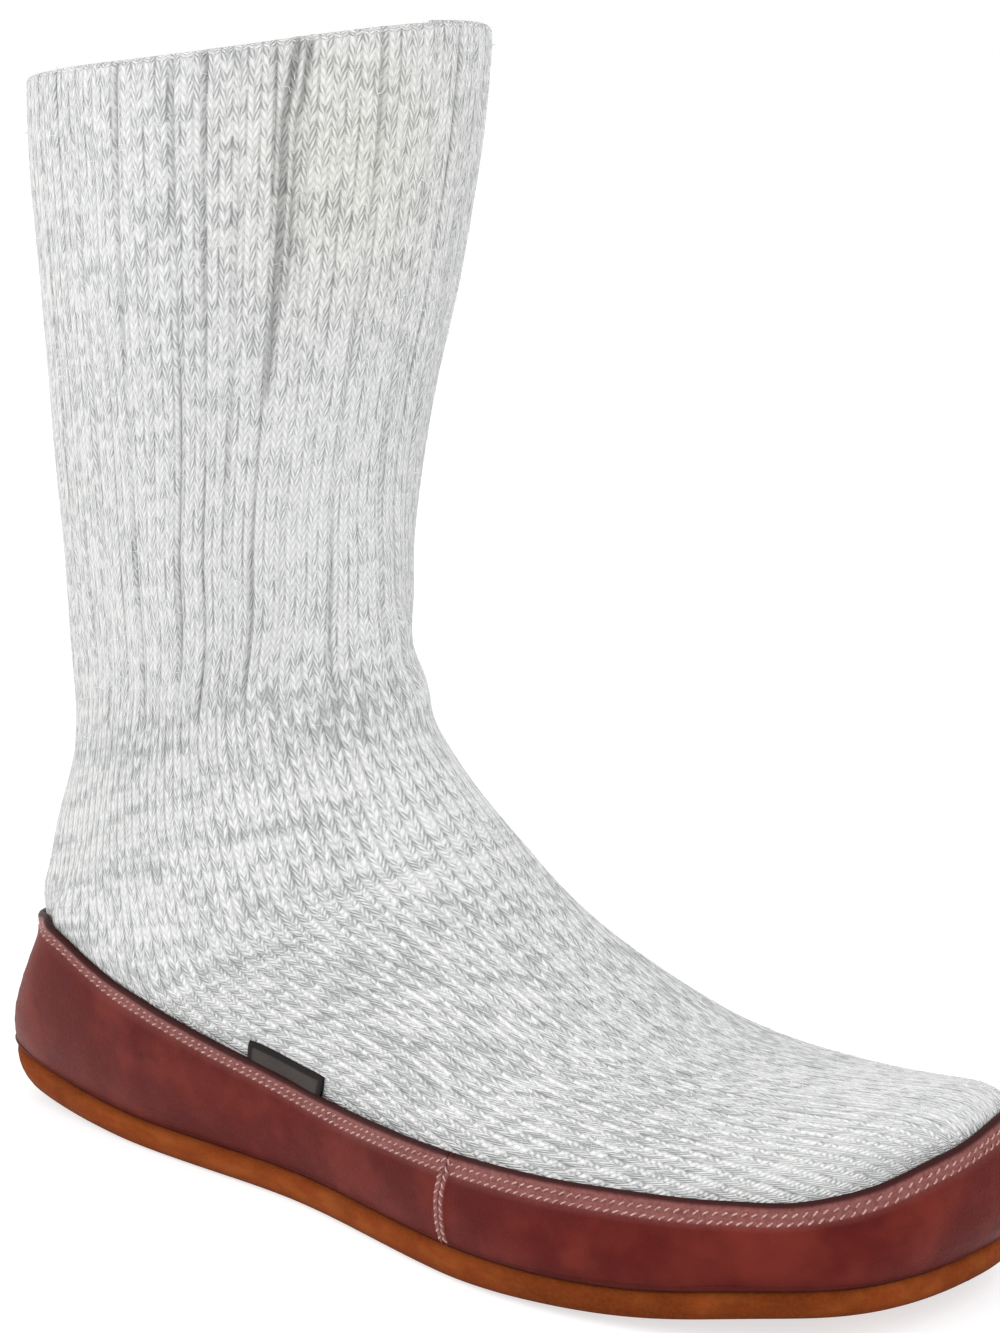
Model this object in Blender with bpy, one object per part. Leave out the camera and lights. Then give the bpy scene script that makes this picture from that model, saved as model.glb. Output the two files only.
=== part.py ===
"""Slipper sock for the right foot: knitted upper on a suede outsole, leather wraps at heel and toe.

Metres, +Z up, toe towards +X, wearer's outer side towards -Y, standing on the floor plane Z = 0.
"""
import math
from typing import NamedTuple

import bmesh
import bpy
import numpy as np

# ---------------------------------------------------------------- driving sizes (metres)
KNIT_WALL = 0.0026          # thickness of the knitted wall
PIECE_GAP = 0.0003          # clearance between neighbouring pieces
LEATHER = 0.0016            # thickness of the heel and toe wraps
TAB_THICK = 0.0010          # folded label ribbon
TAB_HEIGHT = 0.0056
TAB_FROM, TAB_TO = 0.1025, 0.1285
SEAM_FOOT, SEAM_HEAD = 0.1715, 0.1745   # side seam between the wraps, at its foot and head
SOLE_THICK = 0.0074
TOE_THINNING = 0.0014        # the outsole is thinner at the toe by this much
THINNING_FROM, THINNING_TO = 0.190, 0.270
SOLE_MARGIN = 0.0008        # how far the outsole stands out past the wraps
TOE_SPRING = 0.0056
TOE_SPRING_FROM = 0.180
HEEL_LIFT = 0.0018
HEEL_LIFT_TO = 0.030
ARCH_RISE = 0.0016          # hollow under the inner side of the waist
ARCH_FROM, ARCH_TO = 0.070, 0.145
FOOTBED_THICK = 0.0060
FOOTBED_CLEARANCE = 0.0015  # between the footbed and the knitted wall, whose facets cut corners
LENGTH = 0.280
ORIGIN_X, ORIGIN_Y = 0.1326, 0.0        # centre of the footprint in table measures

PLACE_STEPS = ((1.1, 10.4, 0.72), (10.4, 15.8, 0.32), (15.8, 19.9, 1.05))   # row numbers of the lofts
POINTS_AROUND = 42
OUTLINE_POINTS = 36         # per side
ANKLE_ROW = 17.0            # the wraps' own forms end here
SECTION_SAMPLES = 361       # odd, so that the back rail falls on a sample
LOOP_ROWS = (0.02, 13.5, 540)           # first and last row and how many, for the plan outlines
LOOP_AROUND = 240           # points round each of those sections
LOOP_END_REACH = 0.105      # the loop's ends stand out by this share of their last width
LOOP_EVEN_SHARE = 0.45      # share of even spacing, the rest closer together at the ends
BLOCK_REACH = 0.08          # half width of the blocks that cut across the foot
UNDER_FROM, UNDER_TO, UNDER_DEPTH = -0.03, 0.30, -0.03
LEVEL_BEHIND = -0.012       # the sole's upper face runs on level behind this distance
COLLAR_OVERRUN = 0.9        # the inner form runs past the collar by this share of its last step
WRAP_BACK, WRAP_FRONT = -0.019, 0.294   # the wraps' blocks run past heel and toe to here
TAB_LEAN = 0.0008
SMOOTH_ANGLE = 40.0         # degrees, edges sharper than this stay crisp

KNIT_GREY = (0.74, 0.75, 0.74)
BURGUNDY = (0.16, 0.024, 0.022)
TAB_BLACK = (0.016, 0.014, 0.014)
SUEDE_BROWN = (0.26, 0.07, 0.022)
FOOTBED_CREAM = (0.62, 0.60, 0.55)


class Station(NamedTuple):
    """One section of the foot form: front and back rail points, width and roundness."""
    front_x: float
    front_z: float
    back_x: float
    back_z: float
    half_width: float
    centre_y: float
    ridge_y: float
    widest: float
    front_power: float
    back_power: float


# toe tip to collar, centimetres
STATIONS = [
    Station(27.65, 2.90, 27.65, 2.90, 0.00, 1.35, 1.35, 0.50, 2.0, 2.0),
    Station(27.45, 3.68, 27.50, 1.90, 1.55, 1.25, 1.35, 0.50, 2.0, 2.3),
    Station(26.70, 4.20, 26.95, 1.15, 2.62, 0.95, 1.20, 0.45, 2.1, 2.8),
    Station(25.30, 4.42, 25.80, 0.50, 3.48, 0.62, 1.00, 0.42, 2.2, 3.2),
    Station(23.40, 4.55, 23.80, 0.15, 4.22, 0.27, 0.85, 0.40, 2.2, 3.4),
    Station(21.10, 4.66, 21.10, 0.00, 4.70, -0.05, 0.70, 0.38, 2.2, 3.4),
    Station(18.60, 5.25, 17.90, -0.10, 4.70, -0.12, 0.65, 0.36, 2.1, 3.4),
    Station(16.25, 6.55, 14.40, -0.10, 4.15, -0.20, 0.60, 0.35, 2.0, 3.4),
    Station(14.25, 8.22, 10.90, -0.10, 3.70, -0.20, 0.45, 0.35, 2.0, 3.4),
    Station(12.52, 9.90, 7.50, -0.10, 3.72, -0.25, 0.30, 0.37, 2.0, 3.4),
    Station(11.50, 11.45, 4.30, -0.10, 3.85, -0.18, 0.15, 0.40, 2.0, 3.4),
    Station(11.05, 12.90, 1.45, -0.10, 3.88, -0.10, 0.05, 0.44, 2.0, 3.1),
    Station(10.90, 14.00, -0.55, 0.60, 3.82, -0.05, 0.00, 0.47, 2.0, 2.8),
    Station(10.90, 14.95, -0.85, 2.10, 3.85, 0.00, 0.00, 0.50, 2.0, 2.9),
    Station(10.90, 15.95, 0.15, 5.15, 3.80, 0.00, 0.00, 0.52, 2.0, 2.6),
    Station(11.05, 17.20, 1.12, 8.60, 3.85, 0.00, 0.00, 0.52, 2.0, 2.3),
    Station(11.45, 18.80, 1.52, 12.30, 4.05, 0.00, 0.00, 0.50, 2.0, 2.1),
    Station(12.00, 20.70, 1.60, 16.20, 4.40, 0.00, 0.00, 0.50, 2.0, 2.1),
    Station(12.60, 22.90, 1.65, 20.20, 4.75, 0.00, 0.00, 0.50, 2.0, 2.1),
    Station(13.10, 25.30, 1.60, 23.80, 5.00, 0.00, 0.00, 0.50, 2.0, 2.1),
    Station(13.40, 27.40, 1.60, 26.15, 5.10, 0.00, 0.00, 0.50, 2.0, 2.1),
]


class Height(NamedTuple):
    """Height of the wraps' top edge at one distance along the foot."""
    x: float
    z: float


# heel to toe, centimetres
TOP_LINE = [
    Height(-2.0, 6.05), Height(0.5, 5.72), Height(2.3, 5.26), Height(4.5, 4.60), Height(6.4, 4.02),
    Height(8.2, 3.62), Height(10.2, 3.28), Height(12.5, 2.92), Height(15.5, 2.72), Height(18.6, 2.80),
    Height(21.5, 2.92), Height(24.2, 3.04), Height(26.0, 3.28), Height(27.0, 3.64), Height(27.6, 4.06),
    Height(29.5, 5.40),
]


class EdgeLevel(NamedTuple):
    """One level of the outsole's edge: inset from its outline and share of its thickness."""
    inset: float
    share: float


# floor face to top face, insets in metres
SOLE_EDGE = [
    EdgeLevel(0.0036, 0.0), EdgeLevel(0.0018, 0.06), EdgeLevel(0.0007, 0.20), EdgeLevel(0.0001, 0.42),
    EdgeLevel(0.0, 0.62), EdgeLevel(0.0002, 0.82), EdgeLevel(0.0010, 1.0),
]


class BedLevel(NamedTuple):
    """One level of the footbed's edge: share of its thickness and inset from its outline."""
    share: float
    inset: float


# lower face to upper face, insets in metres
FOOTBED_EDGE = [
    BedLevel(0.0, 0.0009), BedLevel(0.16, 0.0), BedLevel(0.55, 0.0), BedLevel(0.88, 0.0003),
    BedLevel(1.0, 0.0016),
]

TABLE = np.array(STATIONS, dtype=float)
TABLE[:, :7] *= 0.01
TOP_TABLE = np.array(TOP_LINE, dtype=float) * 0.01


# ---------------------------------------------------------------- the form's own functions
def spline_slopes(rows):
    """Slopes of a natural cubic spline through evenly numbered rows."""
    count = len(rows)
    matrix = np.zeros((count, count))
    right = np.zeros_like(rows)
    matrix[0, 0], matrix[0, 1] = 2.0, 1.0
    matrix[-1, -1], matrix[-1, -2] = 2.0, 1.0
    right[0] = 3.0 * (rows[1] - rows[0])
    right[-1] = 3.0 * (rows[-1] - rows[-2])
    for i in range(1, count - 1):
        matrix[i, i - 1:i + 2] = 1.0, 4.0, 1.0
        right[i] = 3.0 * (rows[i + 1] - rows[i - 1])
    return np.linalg.solve(matrix, right)


SLOPES = spline_slopes(TABLE)
TOP_SLOPES = np.gradient(TOP_TABLE[:, 1], TOP_TABLE[:, 0])


def hermite(f, a, b, slope_a, slope_b):
    """Cubic between values a and b with the given end slopes, at share f of the step."""
    return ((2 * f**3 - 3 * f**2 + 1) * a + (f**3 - 2 * f**2 + f) * slope_a
            + (3 * f**2 - 2 * f**3) * b + (f**3 - f**2) * slope_b)


def station_at(place):
    """Interpolated station values at a row number that need not be whole."""
    i = int(min(max(math.floor(place), 0), len(TABLE) - 2))
    return hermite(place - i, TABLE[i], TABLE[i + 1], SLOPES[i], SLOPES[i + 1])


def section(place, count):
    """Closed section at a row number: count points evenly spaced, from the front round by +Y."""
    values = station_at(place)
    front, back = np.array([values[0], values[1]]), np.array([values[2], values[3]])
    half, centre, ridge, widest, front_power, back_power = values[4:10]
    angle = np.linspace(0.0, 2.0 * math.pi, SECTION_SAMPLES)
    c, s = np.cos(angle), np.sin(angle)
    power = np.where(c >= 0.0, front_power, back_power)
    along = np.abs(c) ** (2.0 / power)
    across = np.sign(s) * np.abs(s) ** (2.0 / power)
    part = np.where(c >= 0.0, widest + (1.0 - widest) * along, widest - widest * along)
    y = half * across + centre + (ridge - centre) * np.where(c >= 0.0, along, 0.0)
    points = np.stack([back[0] + (front[0] - back[0]) * part, y, back[1] + (front[1] - back[1]) * part], 1)
    result = []
    turn = SECTION_SAMPLES // 2
    for span in (points[:turn + 1], points[turn:]):
        run = np.concatenate([[0.0], np.cumsum(np.linalg.norm(np.diff(span, axis=0), axis=1))])
        steps = np.linspace(0.0, run[-1], count // 2 + 1)[:-1]
        result.append(np.stack([np.interp(steps, run, span[:, k]) for k in range(3)], 1))
    return np.concatenate(result)


def form_grid(places, count, offset):
    """Sections at the given row numbers, moved out along the surface normal by offset."""
    grid = np.array([section(place, count) for place in places])
    along = np.gradient(grid, axis=0)
    around = np.roll(grid, -1, axis=1) - np.roll(grid, 1, axis=1)
    normal = np.cross(around, along)
    length = np.linalg.norm(normal, axis=2, keepdims=True)
    normal = np.where(length > 1e-12, normal / np.maximum(length, 1e-12), 0.0)
    if places[0] < 1e-6:
        tip = normal[1].mean(axis=0)
        normal[0] = tip / np.linalg.norm(tip)
    outward = ((grid[3:] - grid[3:].mean(axis=1, keepdims=True)) * normal[3:]).sum()
    return grid + offset * normal * (1.0 if outward > 0.0 else -1.0)


def smooth_step(value):
    value = min(max(value, 0.0), 1.0)
    return value * value * (3.0 - 2.0 * value)


def spring(x):
    """Rise of the sole above the floor at the toe and at the very back of the heel."""
    toe = max(x - TOE_SPRING_FROM, 0.0) / (LENGTH - TOE_SPRING_FROM - 0.005)
    heel = max(HEEL_LIFT_TO - x, 0.0) / HEEL_LIFT_TO
    return TOE_SPRING * toe**2 + HEEL_LIFT * heel**2


def sole_top(x):
    """Height of the outsole's upper face."""
    thinned = TOE_THINNING * smooth_step((x - THINNING_FROM) / (THINNING_TO - THINNING_FROM))
    return SOLE_THICK - thinned + spring(x)


def sole_line(x):
    """Height just above the outsole that the upper and the wraps are cut to."""
    return sole_top(max(x, LEVEL_BEHIND)) + PIECE_GAP


def arch_rise(x, y):
    """Hollow under the inner side of the waist."""
    if not ARCH_FROM < x < ARCH_TO:
        return 0.0
    bump = math.sin(math.pi * (x - ARCH_FROM) / (ARCH_TO - ARCH_FROM)) ** 2
    return ARCH_RISE * bump * smooth_step((y + 0.005) / 0.030)


def top_line(x):
    """Height of the wraps' top edge at distance x from the heel."""
    k = int(min(max(np.searchsorted(TOP_TABLE[:, 0], x) - 1, 0), len(TOP_TABLE) - 2))
    step = TOP_TABLE[k + 1, 0] - TOP_TABLE[k, 0]
    f = (x - TOP_TABLE[k, 0]) / step
    return hermite(f, TOP_TABLE[k, 1], TOP_TABLE[k + 1, 1], step * TOP_SLOPES[k], step * TOP_SLOPES[k + 1])


def level_outline(offset, lift, count):
    """Closed plan loop where the form, moved out by offset, meets the outsole's face plus lift.

    The loop runs from the heel along the outer side to the toe and back along the inner side,
    count points to a side, each pair of side points at one place along the foot.
    """
    grid = form_grid(np.linspace(*LOOP_ROWS), LOOP_AROUND, offset)
    turn = LOOP_AROUND // 2
    outer, inner = [], []
    for ring in grid:
        height = ring[:, 2] - np.array([sole_top(x) + lift for x in ring[:, 0]])
        sides = []
        for half in (ring[:turn + 1], np.concatenate([ring[turn:], ring[:1]])[::-1]):
            level = height[:turn + 1] if not sides else np.concatenate([height[turn:], height[:1]])[::-1]
            low = np.where((level[:-1] >= 0.0) & (level[1:] < 0.0))[0]
            if len(low):
                k = low[-1]
                t = level[k] / (level[k] - level[k + 1])
                sides.append(half[k] + t * (half[k + 1] - half[k]))
            else:
                sides.append(None)
        if sides[0] is not None and sides[1] is not None:
            inner.append(sides[0][:2])
            outer.append(sides[1][:2])
    outer, inner = np.array(outer)[::-1], np.array(inner)[::-1]
    reach = np.array([LOOP_END_REACH, 0.0])
    heel = 0.5 * (outer[0] + inner[0]) - reach * abs(outer[0][1] - inner[0][1])
    toe = 0.5 * (outer[-1] + inner[-1]) + reach * abs(outer[-1][1] - inner[-1][1])
    loops = []
    for side in (outer, inner):
        path = np.concatenate([[heel], side, [toe]])
        run = np.concatenate([[0.0], np.cumsum(np.linalg.norm(np.diff(path, axis=0), axis=1))])
        steps = run[-1] * (0.5 - 0.5 * np.cos(np.linspace(0.0, math.pi, count)))
        even = np.linspace(0.0, run[-1], count)
        steps = (1.0 - LOOP_EVEN_SHARE) * steps + LOOP_EVEN_SHARE * even
        loops.append(np.stack([np.interp(steps, run, path[:, k]) for k in range(2)], 1))
    return np.concatenate([loops[0], loops[1][::-1][1:-1]])


def grown(loop, distance):
    """A plan loop moved out (positive) or in (negative) along its own normals."""
    tangent = np.roll(loop, -1, axis=0) - np.roll(loop, 1, axis=0)
    normal = np.stack([tangent[:, 1], -tangent[:, 0]], 1)
    normal /= np.linalg.norm(normal, axis=1, keepdims=True)
    area = 0.5 * np.sum(loop[:, 0] * np.roll(loop[:, 1], -1) - np.roll(loop[:, 0], -1) * loop[:, 1])
    return loop + normal * distance * (1.0 if area > 0.0 else -1.0)


# ---------------------------------------------------------------- mesh helpers
def clear_scene():
    for item in list(bpy.data.objects):
        bpy.data.objects.remove(item, do_unlink=True)


def new_collection(name):
    group = bpy.data.collections.new(name)
    bpy.context.scene.collection.children.link(group)
    return group


def finish_mesh(bm, name, group):
    for vertex in bm.verts:
        vertex.co.x -= ORIGIN_X
        vertex.co.y -= ORIGIN_Y
    bmesh.ops.recalc_face_normals(bm, faces=bm.faces[:])
    for face in bm.faces:
        face.smooth = True
    for edge in bm.edges:
        if len(edge.link_faces) == 2:
            edge.smooth = edge.calc_face_angle() < math.radians(SMOOTH_ANGLE)
    mesh = bpy.data.meshes.new(name)
    bm.to_mesh(mesh)
    bm.free()
    item = bpy.data.objects.new(name, mesh)
    group.objects.link(item)
    return item


def loft(rings, name, group, pole_start=False):
    """Solid through closed rings of equal length, a pole or flat face at its start, flat at its end."""
    bm = bmesh.new()
    rows = []
    for i, ring in enumerate(rings):
        if i == 0 and pole_start:
            rows.append([bm.verts.new(ring[0])] * len(ring))
        else:
            rows.append([bm.verts.new(point) for point in ring])
    count = len(rings[0])
    for lower, upper in zip(rows[:-1], rows[1:]):
        for j in range(count):
            k = (j + 1) % count
            if lower[j] is lower[k]:
                bm.faces.new((lower[j], upper[k], upper[j]))
            else:
                bm.faces.new((lower[j], lower[k], upper[k]))
                bm.faces.new((lower[j], upper[k], upper[j]))
    if not pole_start:
        bm.faces.new(rows[0][::-1])
    bm.faces.new(rows[-1])
    return finish_mesh(bm, name, group)


def plate(levels, name, group):
    """Solid through stacked plan loops; both faces run straight across between paired side points."""
    bm = bmesh.new()
    rows = [[bm.verts.new(point) for point in level] for level in levels]
    count = len(levels[0])
    for lower, upper in zip(rows[:-1], rows[1:]):
        for j in range(count):
            k = (j + 1) % count
            bm.faces.new((lower[j], lower[k], upper[k], upper[j]))
    for row, turned in ((rows[0], True), (rows[-1], False)):
        for j in range(OUTLINE_POINTS - 1):
            mate, after = (count - j) % count, count - j - 1
            corners = [row[j], row[j + 1]]
            corners += [row[after]] if after != j + 1 else []
            corners += [row[mate]] if mate != j else []
            if len(corners) > 2:
                bm.faces.new(corners[::-1] if turned else corners)
    return finish_mesh(bm, name, group)


def profile_block(points, name, group, reach=(-BLOCK_REACH, BLOCK_REACH)):
    """Side-view polygon in X and Z run straight across the foot."""
    bm = bmesh.new()
    left = [bm.verts.new((x, reach[0], z)) for x, z in points]
    right = [bm.verts.new((x, reach[1], z)) for x, z in points]
    bm.faces.new(left)
    bm.faces.new(right[::-1])
    for j in range(len(points)):
        k = (j + 1) % len(points)
        bm.faces.new((left[k], left[j], right[j], right[k]))
    return finish_mesh(bm, name, group)


def cut(item, cutter, operation):
    modifier = item.modifiers.new(f"{operation.lower()}_{cutter.name}", "BOOLEAN")
    modifier.solver = "EXACT"
    modifier.operation = operation
    modifier.object = cutter


def finish_material(item, colour, roughness, sheen=0.0):
    material = bpy.data.materials.new(item.name)
    material.use_nodes = True
    shader = material.node_tree.nodes["Principled BSDF"]
    shader.inputs["Base Color"].default_value = (*colour, 1.0)
    shader.inputs["Roughness"].default_value = roughness
    shader.inputs["Sheen Weight"].default_value = sheen
    item.data.materials.append(material)


def along_places(last):
    """Row numbers for the lofts up to the given one: closer together round the toe and the heel."""
    places = [0.0, 0.12, 0.3, 0.55, 0.8]
    for start, end, step in PLACE_STEPS:
        places += list(np.arange(start, end - 1e-6, step))
    places = np.array(places + [len(TABLE) - 1.0])
    return places[places <= last + 1e-9]


# ---------------------------------------------------------------- the pieces
def build_forms(cutters):
    """Larger and smaller copies of the foot form that the shells are cut between."""
    collar = len(TABLE) - 1
    inside = form_grid(along_places(collar), POINTS_AROUND, -KNIT_WALL)
    above = inside[-1] + (inside[-1] - inside[-2]) * COLLAR_OVERRUN
    inner_form = loft(np.concatenate([inside, [above]]), "inner_form", cutters, pole_start=True)
    close_fit = form_grid(along_places(ANKLE_ROW), POINTS_AROUND, PIECE_GAP)
    wrap_inner = loft(close_fit, "wrap_inner_form", cutters, pole_start=True)
    top_edge = [(x, sole_line(x)) for x in np.linspace(UNDER_FROM, UNDER_TO, 56)]
    corners = [(UNDER_TO, UNDER_DEPTH), (UNDER_FROM, UNDER_DEPTH)]
    under = profile_block(top_edge + corners, "under_block", cutters)
    return inner_form, wrap_inner, under


def build_upper(parts, inner_form, under):
    collar = len(TABLE) - 1
    outer = form_grid(along_places(collar), POINTS_AROUND, 0.0)
    upper = loft(outer, "knit_upper", parts, pole_start=True)
    cut(upper, inner_form, "DIFFERENCE")
    cut(upper, under, "DIFFERENCE")
    finish_material(upper, KNIT_GREY, 0.95, 0.3)


def wrap_profile(start, end):
    """Side-view region of one wrap, between the outsole and the top line; ends are (foot, head)."""
    def edge_x(ends, height):
        return ends[0] + (ends[1] - ends[0]) * height
    foot = np.linspace(edge_x(start, 0.0), edge_x(end, 0.0), 30)
    head = np.linspace(edge_x(start, 1.0), edge_x(end, 1.0), 40)
    lower = [(x, sole_line(x)) for x in foot]
    upper = [(x, top_line(x)) for x in head[::-1]]
    return lower + upper


def build_wraps(parts, cutters, wrap_inner):
    outer = form_grid(along_places(ANKLE_ROW), POINTS_AROUND, PIECE_GAP + LEATHER)
    half = 0.5 * PIECE_GAP
    spans = (
        ("heel_wrap", (WRAP_BACK, WRAP_BACK), (SEAM_FOOT - half, SEAM_HEAD - half)),
        ("toe_wrap", (SEAM_FOOT + half, SEAM_HEAD + half), (WRAP_FRONT, WRAP_FRONT)),
    )
    for name, start, end in spans:
        wrap = loft(outer, name, parts, pole_start=True)
        block = profile_block(wrap_profile(start, end), f"{name}_block", cutters)
        cut(wrap, wrap_inner, "DIFFERENCE")
        cut(wrap, block, "INTERSECT")
        finish_material(wrap, BURGUNDY, 0.45)


def build_tab(parts, cutters, wrap_inner):
    outer = form_grid(along_places(ANKLE_ROW), POINTS_AROUND, PIECE_GAP + TAB_THICK)
    tab = loft(outer, "side_tab", parts, pole_start=True)
    xs = np.linspace(TAB_FROM, TAB_TO, 8)
    lower = [(x, top_line(x) + PIECE_GAP) for x in xs]
    upper = [(x + TAB_LEAN, top_line(x) + PIECE_GAP + TAB_HEIGHT) for x in xs[::-1]]
    block = profile_block(lower + upper, "side_tab_block", cutters, reach=(-BLOCK_REACH, 0.0))
    cut(tab, wrap_inner, "DIFFERENCE")
    cut(tab, block, "INTERSECT")
    finish_material(tab, TAB_BLACK, 0.7)


def build_outsole(parts):
    outline = grown(level_outline(PIECE_GAP + LEATHER, PIECE_GAP, OUTLINE_POINTS), SOLE_MARGIN)
    levels = []
    for inset, share in SOLE_EDGE:
        loop = grown(outline, -inset)
        level = []
        for (x, y), (full_x, _) in zip(loop, outline):
            floor = spring(full_x) + arch_rise(full_x, y)
            level.append((x, y, floor + (sole_top(full_x) - floor) * share))
        levels.append(level)
    outsole = plate(levels, "outsole", parts)
    finish_material(outsole, SUEDE_BROWN, 0.9, 0.2)


def build_footbed(parts):
    inset = -(KNIT_WALL + FOOTBED_CLEARANCE)
    levels = []
    for level in FOOTBED_EDGE:
        lift = PIECE_GAP + FOOTBED_THICK * level.share
        loop = grown(level_outline(inset, lift, OUTLINE_POINTS), -level.inset)
        levels.append([(x, y, sole_top(x) + lift) for x, y in loop])
    footbed = plate(levels, "footbed", parts)
    finish_material(footbed, FOOTBED_CREAM, 0.95, 0.3)


def build():
    clear_scene()
    parts = new_collection("slipper_sock")
    cutters = new_collection("cutters")
    inner_form, wrap_inner, under = build_forms(cutters)
    build_upper(parts, inner_form, under)
    build_wraps(parts, cutters, wrap_inner)
    build_tab(parts, cutters, wrap_inner)
    build_outsole(parts)
    build_footbed(parts)
    for item in cutters.objects:
        item.hide_render = True
        item.display_type = "WIRE"


build()
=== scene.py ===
"""Looks of a right slipper sock: marled rib knit on a suede sole, with stitched leather wraps.

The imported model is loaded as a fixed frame, and each piece is modelled again round it in the same
metres: toe towards +X, the wearer's outer side towards -Y, the floor at Z = 0.
"""
from __future__ import annotations

import logging
import math
from dataclasses import dataclass, field
from enum import Enum
from typing import Callable, NamedTuple
import bmesh
import bpy
import numpy as np
from mathutils import Matrix, Vector, noise
from mathutils.bvhtree import BVHTree


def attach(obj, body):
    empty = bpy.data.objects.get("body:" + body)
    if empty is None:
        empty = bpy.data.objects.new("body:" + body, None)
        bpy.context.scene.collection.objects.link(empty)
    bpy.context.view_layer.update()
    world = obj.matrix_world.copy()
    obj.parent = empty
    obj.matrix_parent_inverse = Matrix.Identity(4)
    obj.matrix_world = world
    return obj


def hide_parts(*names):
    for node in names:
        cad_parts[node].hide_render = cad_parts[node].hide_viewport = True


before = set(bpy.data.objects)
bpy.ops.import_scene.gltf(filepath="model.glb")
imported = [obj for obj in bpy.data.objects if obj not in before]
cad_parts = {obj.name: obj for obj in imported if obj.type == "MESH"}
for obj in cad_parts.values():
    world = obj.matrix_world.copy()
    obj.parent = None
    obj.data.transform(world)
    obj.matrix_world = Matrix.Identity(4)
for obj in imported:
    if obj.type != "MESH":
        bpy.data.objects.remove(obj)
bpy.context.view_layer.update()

Array = np.ndarray
Piece = bpy.types.Object
Material = bpy.types.Material
Triple = tuple[float, float, float]
Colour = Triple

CM = 0.01
TO_ROW_X = -0.1326          # from distances along the foot to the row's own X
TOE_PLACE = 0.02            # row number of the form's first section that has a width
BODY = "root"
SORT_ALONG = Vector((1.0, 0.3719, 0.1373))      # a direction along which no two parts tie
LOG = logging.getLogger("slipper_sock")


# ---------------------------------------------------------------- the shoe's own lines
# Sections of the form from toe tip to collar. Centimetres from the heel and above the floor: X and Z of
# the front rail and of the back rail, half width, Y of the middle and of the ridge. Then the share of
# the depth where the section is widest, and how square its front and its back are.
STATIONS = (
    (27.65, 2.9, 27.65, 2.9, 0, 1.35, 1.35, 0.5, 2, 2),
    (27.5, 3.92, 27.5, 1.9, 1.6, 1.28, 1.35, 0.5, 2.2, 2.3),
    (26.8, 4.46, 26.95, 1.15, 2.68, 1, 1.25, 0.45, 2.5, 2.8),
    (25.35, 4.5, 25.8, 0.5, 3.5, 0.64, 1.05, 0.42, 2.5, 3.2),
    (23.4, 4.44, 23.8, 0.15, 4.22, 0.27, 0.9, 0.4, 2.3, 3.4),
    (21.1, 4.58, 21.1, 0, 4.7, -0.05, 0.7, 0.38, 2.2, 3.4),
    (18.6, 5.25, 17.9, -0.1, 4.7, -0.12, 0.65, 0.36, 2.1, 3.4),
    (16.25, 6.55, 14.4, -0.1, 4.15, -0.2, 0.6, 0.35, 2, 3.4),
    (14.25, 8.22, 10.9, -0.1, 3.7, -0.2, 0.45, 0.35, 2, 3.4),
    (12.52, 9.9, 7.5, -0.1, 3.72, -0.25, 0.3, 0.37, 2, 3.4),
    (11.5, 11.45, 4.3, -0.1, 3.85, -0.18, 0.15, 0.4, 2, 3.4),
    (11.05, 12.9, 1.47, -0.1, 3.88, -0.1, 0.05, 0.44, 2, 3.1),
    (10.9, 14, -0.66, 0.62, 3.92, -0.05, 0, 0.47, 2, 3),
    (10.9, 14.95, -0.4, 2.25, 3.92, 0, 0, 0.5, 2, 2.35),
    (10.9, 15.95, 0.44, 5.2, 3.83, 0, 0, 0.52, 2, 2.7),
    (11.05, 17.2, 1.24, 8.6, 3.83, 0, 0, 0.52, 2, 2.2),
    (11.45, 18.8, 1.52, 12.3, 4.05, 0, 0, 0.5, 2, 2.1),
    (12, 20.7, 1.6, 16.2, 4.4, 0, 0, 0.5, 2, 2.1),
    (12.6, 22.9, 1.65, 20.2, 4.75, 0, 0, 0.5, 2, 2.1),
    (13.1, 25.3, 1.6, 23.8, 5, 0, 0, 0.5, 2, 2.1),
    (13.4, 27.4, 1.6, 26.15, 5.1, 0, 0, 0.5, 2, 2.1),
)
# The wraps' top edge from heel to toe, in centimetres: distance along the foot and height.
TOP_LINE = (
    (-2, 4.92), (0.4, 5.02), (1.4, 5.24), (2.3, 5.42), (3, 5.33), (3.6, 5.11), (4.2, 4.83), (5.1, 4.48),
    (6.4, 4.16), (8.2, 3.77), (10.2, 3.38), (12.5, 2.96), (15.5, 2.79), (18.6, 2.79), (21.5, 2.84),
    (24.2, 2.92), (26, 3.13), (27, 3.52), (27.6, 4), (29.5, 5.3),
)


def smooth(value: Array | float) -> Array:
    """Ease a value from 0 to 1."""
    value = np.clip(value, 0.0, 1.0)
    return value * value * (3.0 - 2.0 * value)


def hill(distance: Array | float, width: float) -> Array:
    """Soft bump of height 1 and the given half width."""
    return np.exp(-((distance / width) ** 2))


def drawn_in(share: Array | float) -> Array:
    """Quarter round: 1 at share 0, falling to 0 at share 1."""
    return 1.0 - np.sqrt(1.0 - (1.0 - np.asarray(share)) ** 2)


def along(x: Array | float) -> Array:
    """Distance along the foot at row X."""
    return np.asarray(x, dtype=float) - TO_ROW_X


def run_lengths(points: Array) -> Array:
    """Length along a line of points at each of them."""
    return np.concatenate([[0.0], np.cumsum(np.linalg.norm(np.diff(points, axis=0), axis=1))])


def read(at: Array | float, marks: Array, table: Array) -> Array:
    """Rows of a table at places between its marks."""
    return np.stack([np.interp(at, marks, column) for column in table.T], -1)


def ring(points: Array, axis: int = 0) -> Array:
    """Points with the first repeated after the last."""
    return np.concatenate([points, np.take(points, [0], axis)], axis)


def unit(vectors: Array) -> Array:
    """Vectors brought to length 1."""
    return vectors / np.linalg.norm(vectors, axis=-1, keepdims=True)


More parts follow.
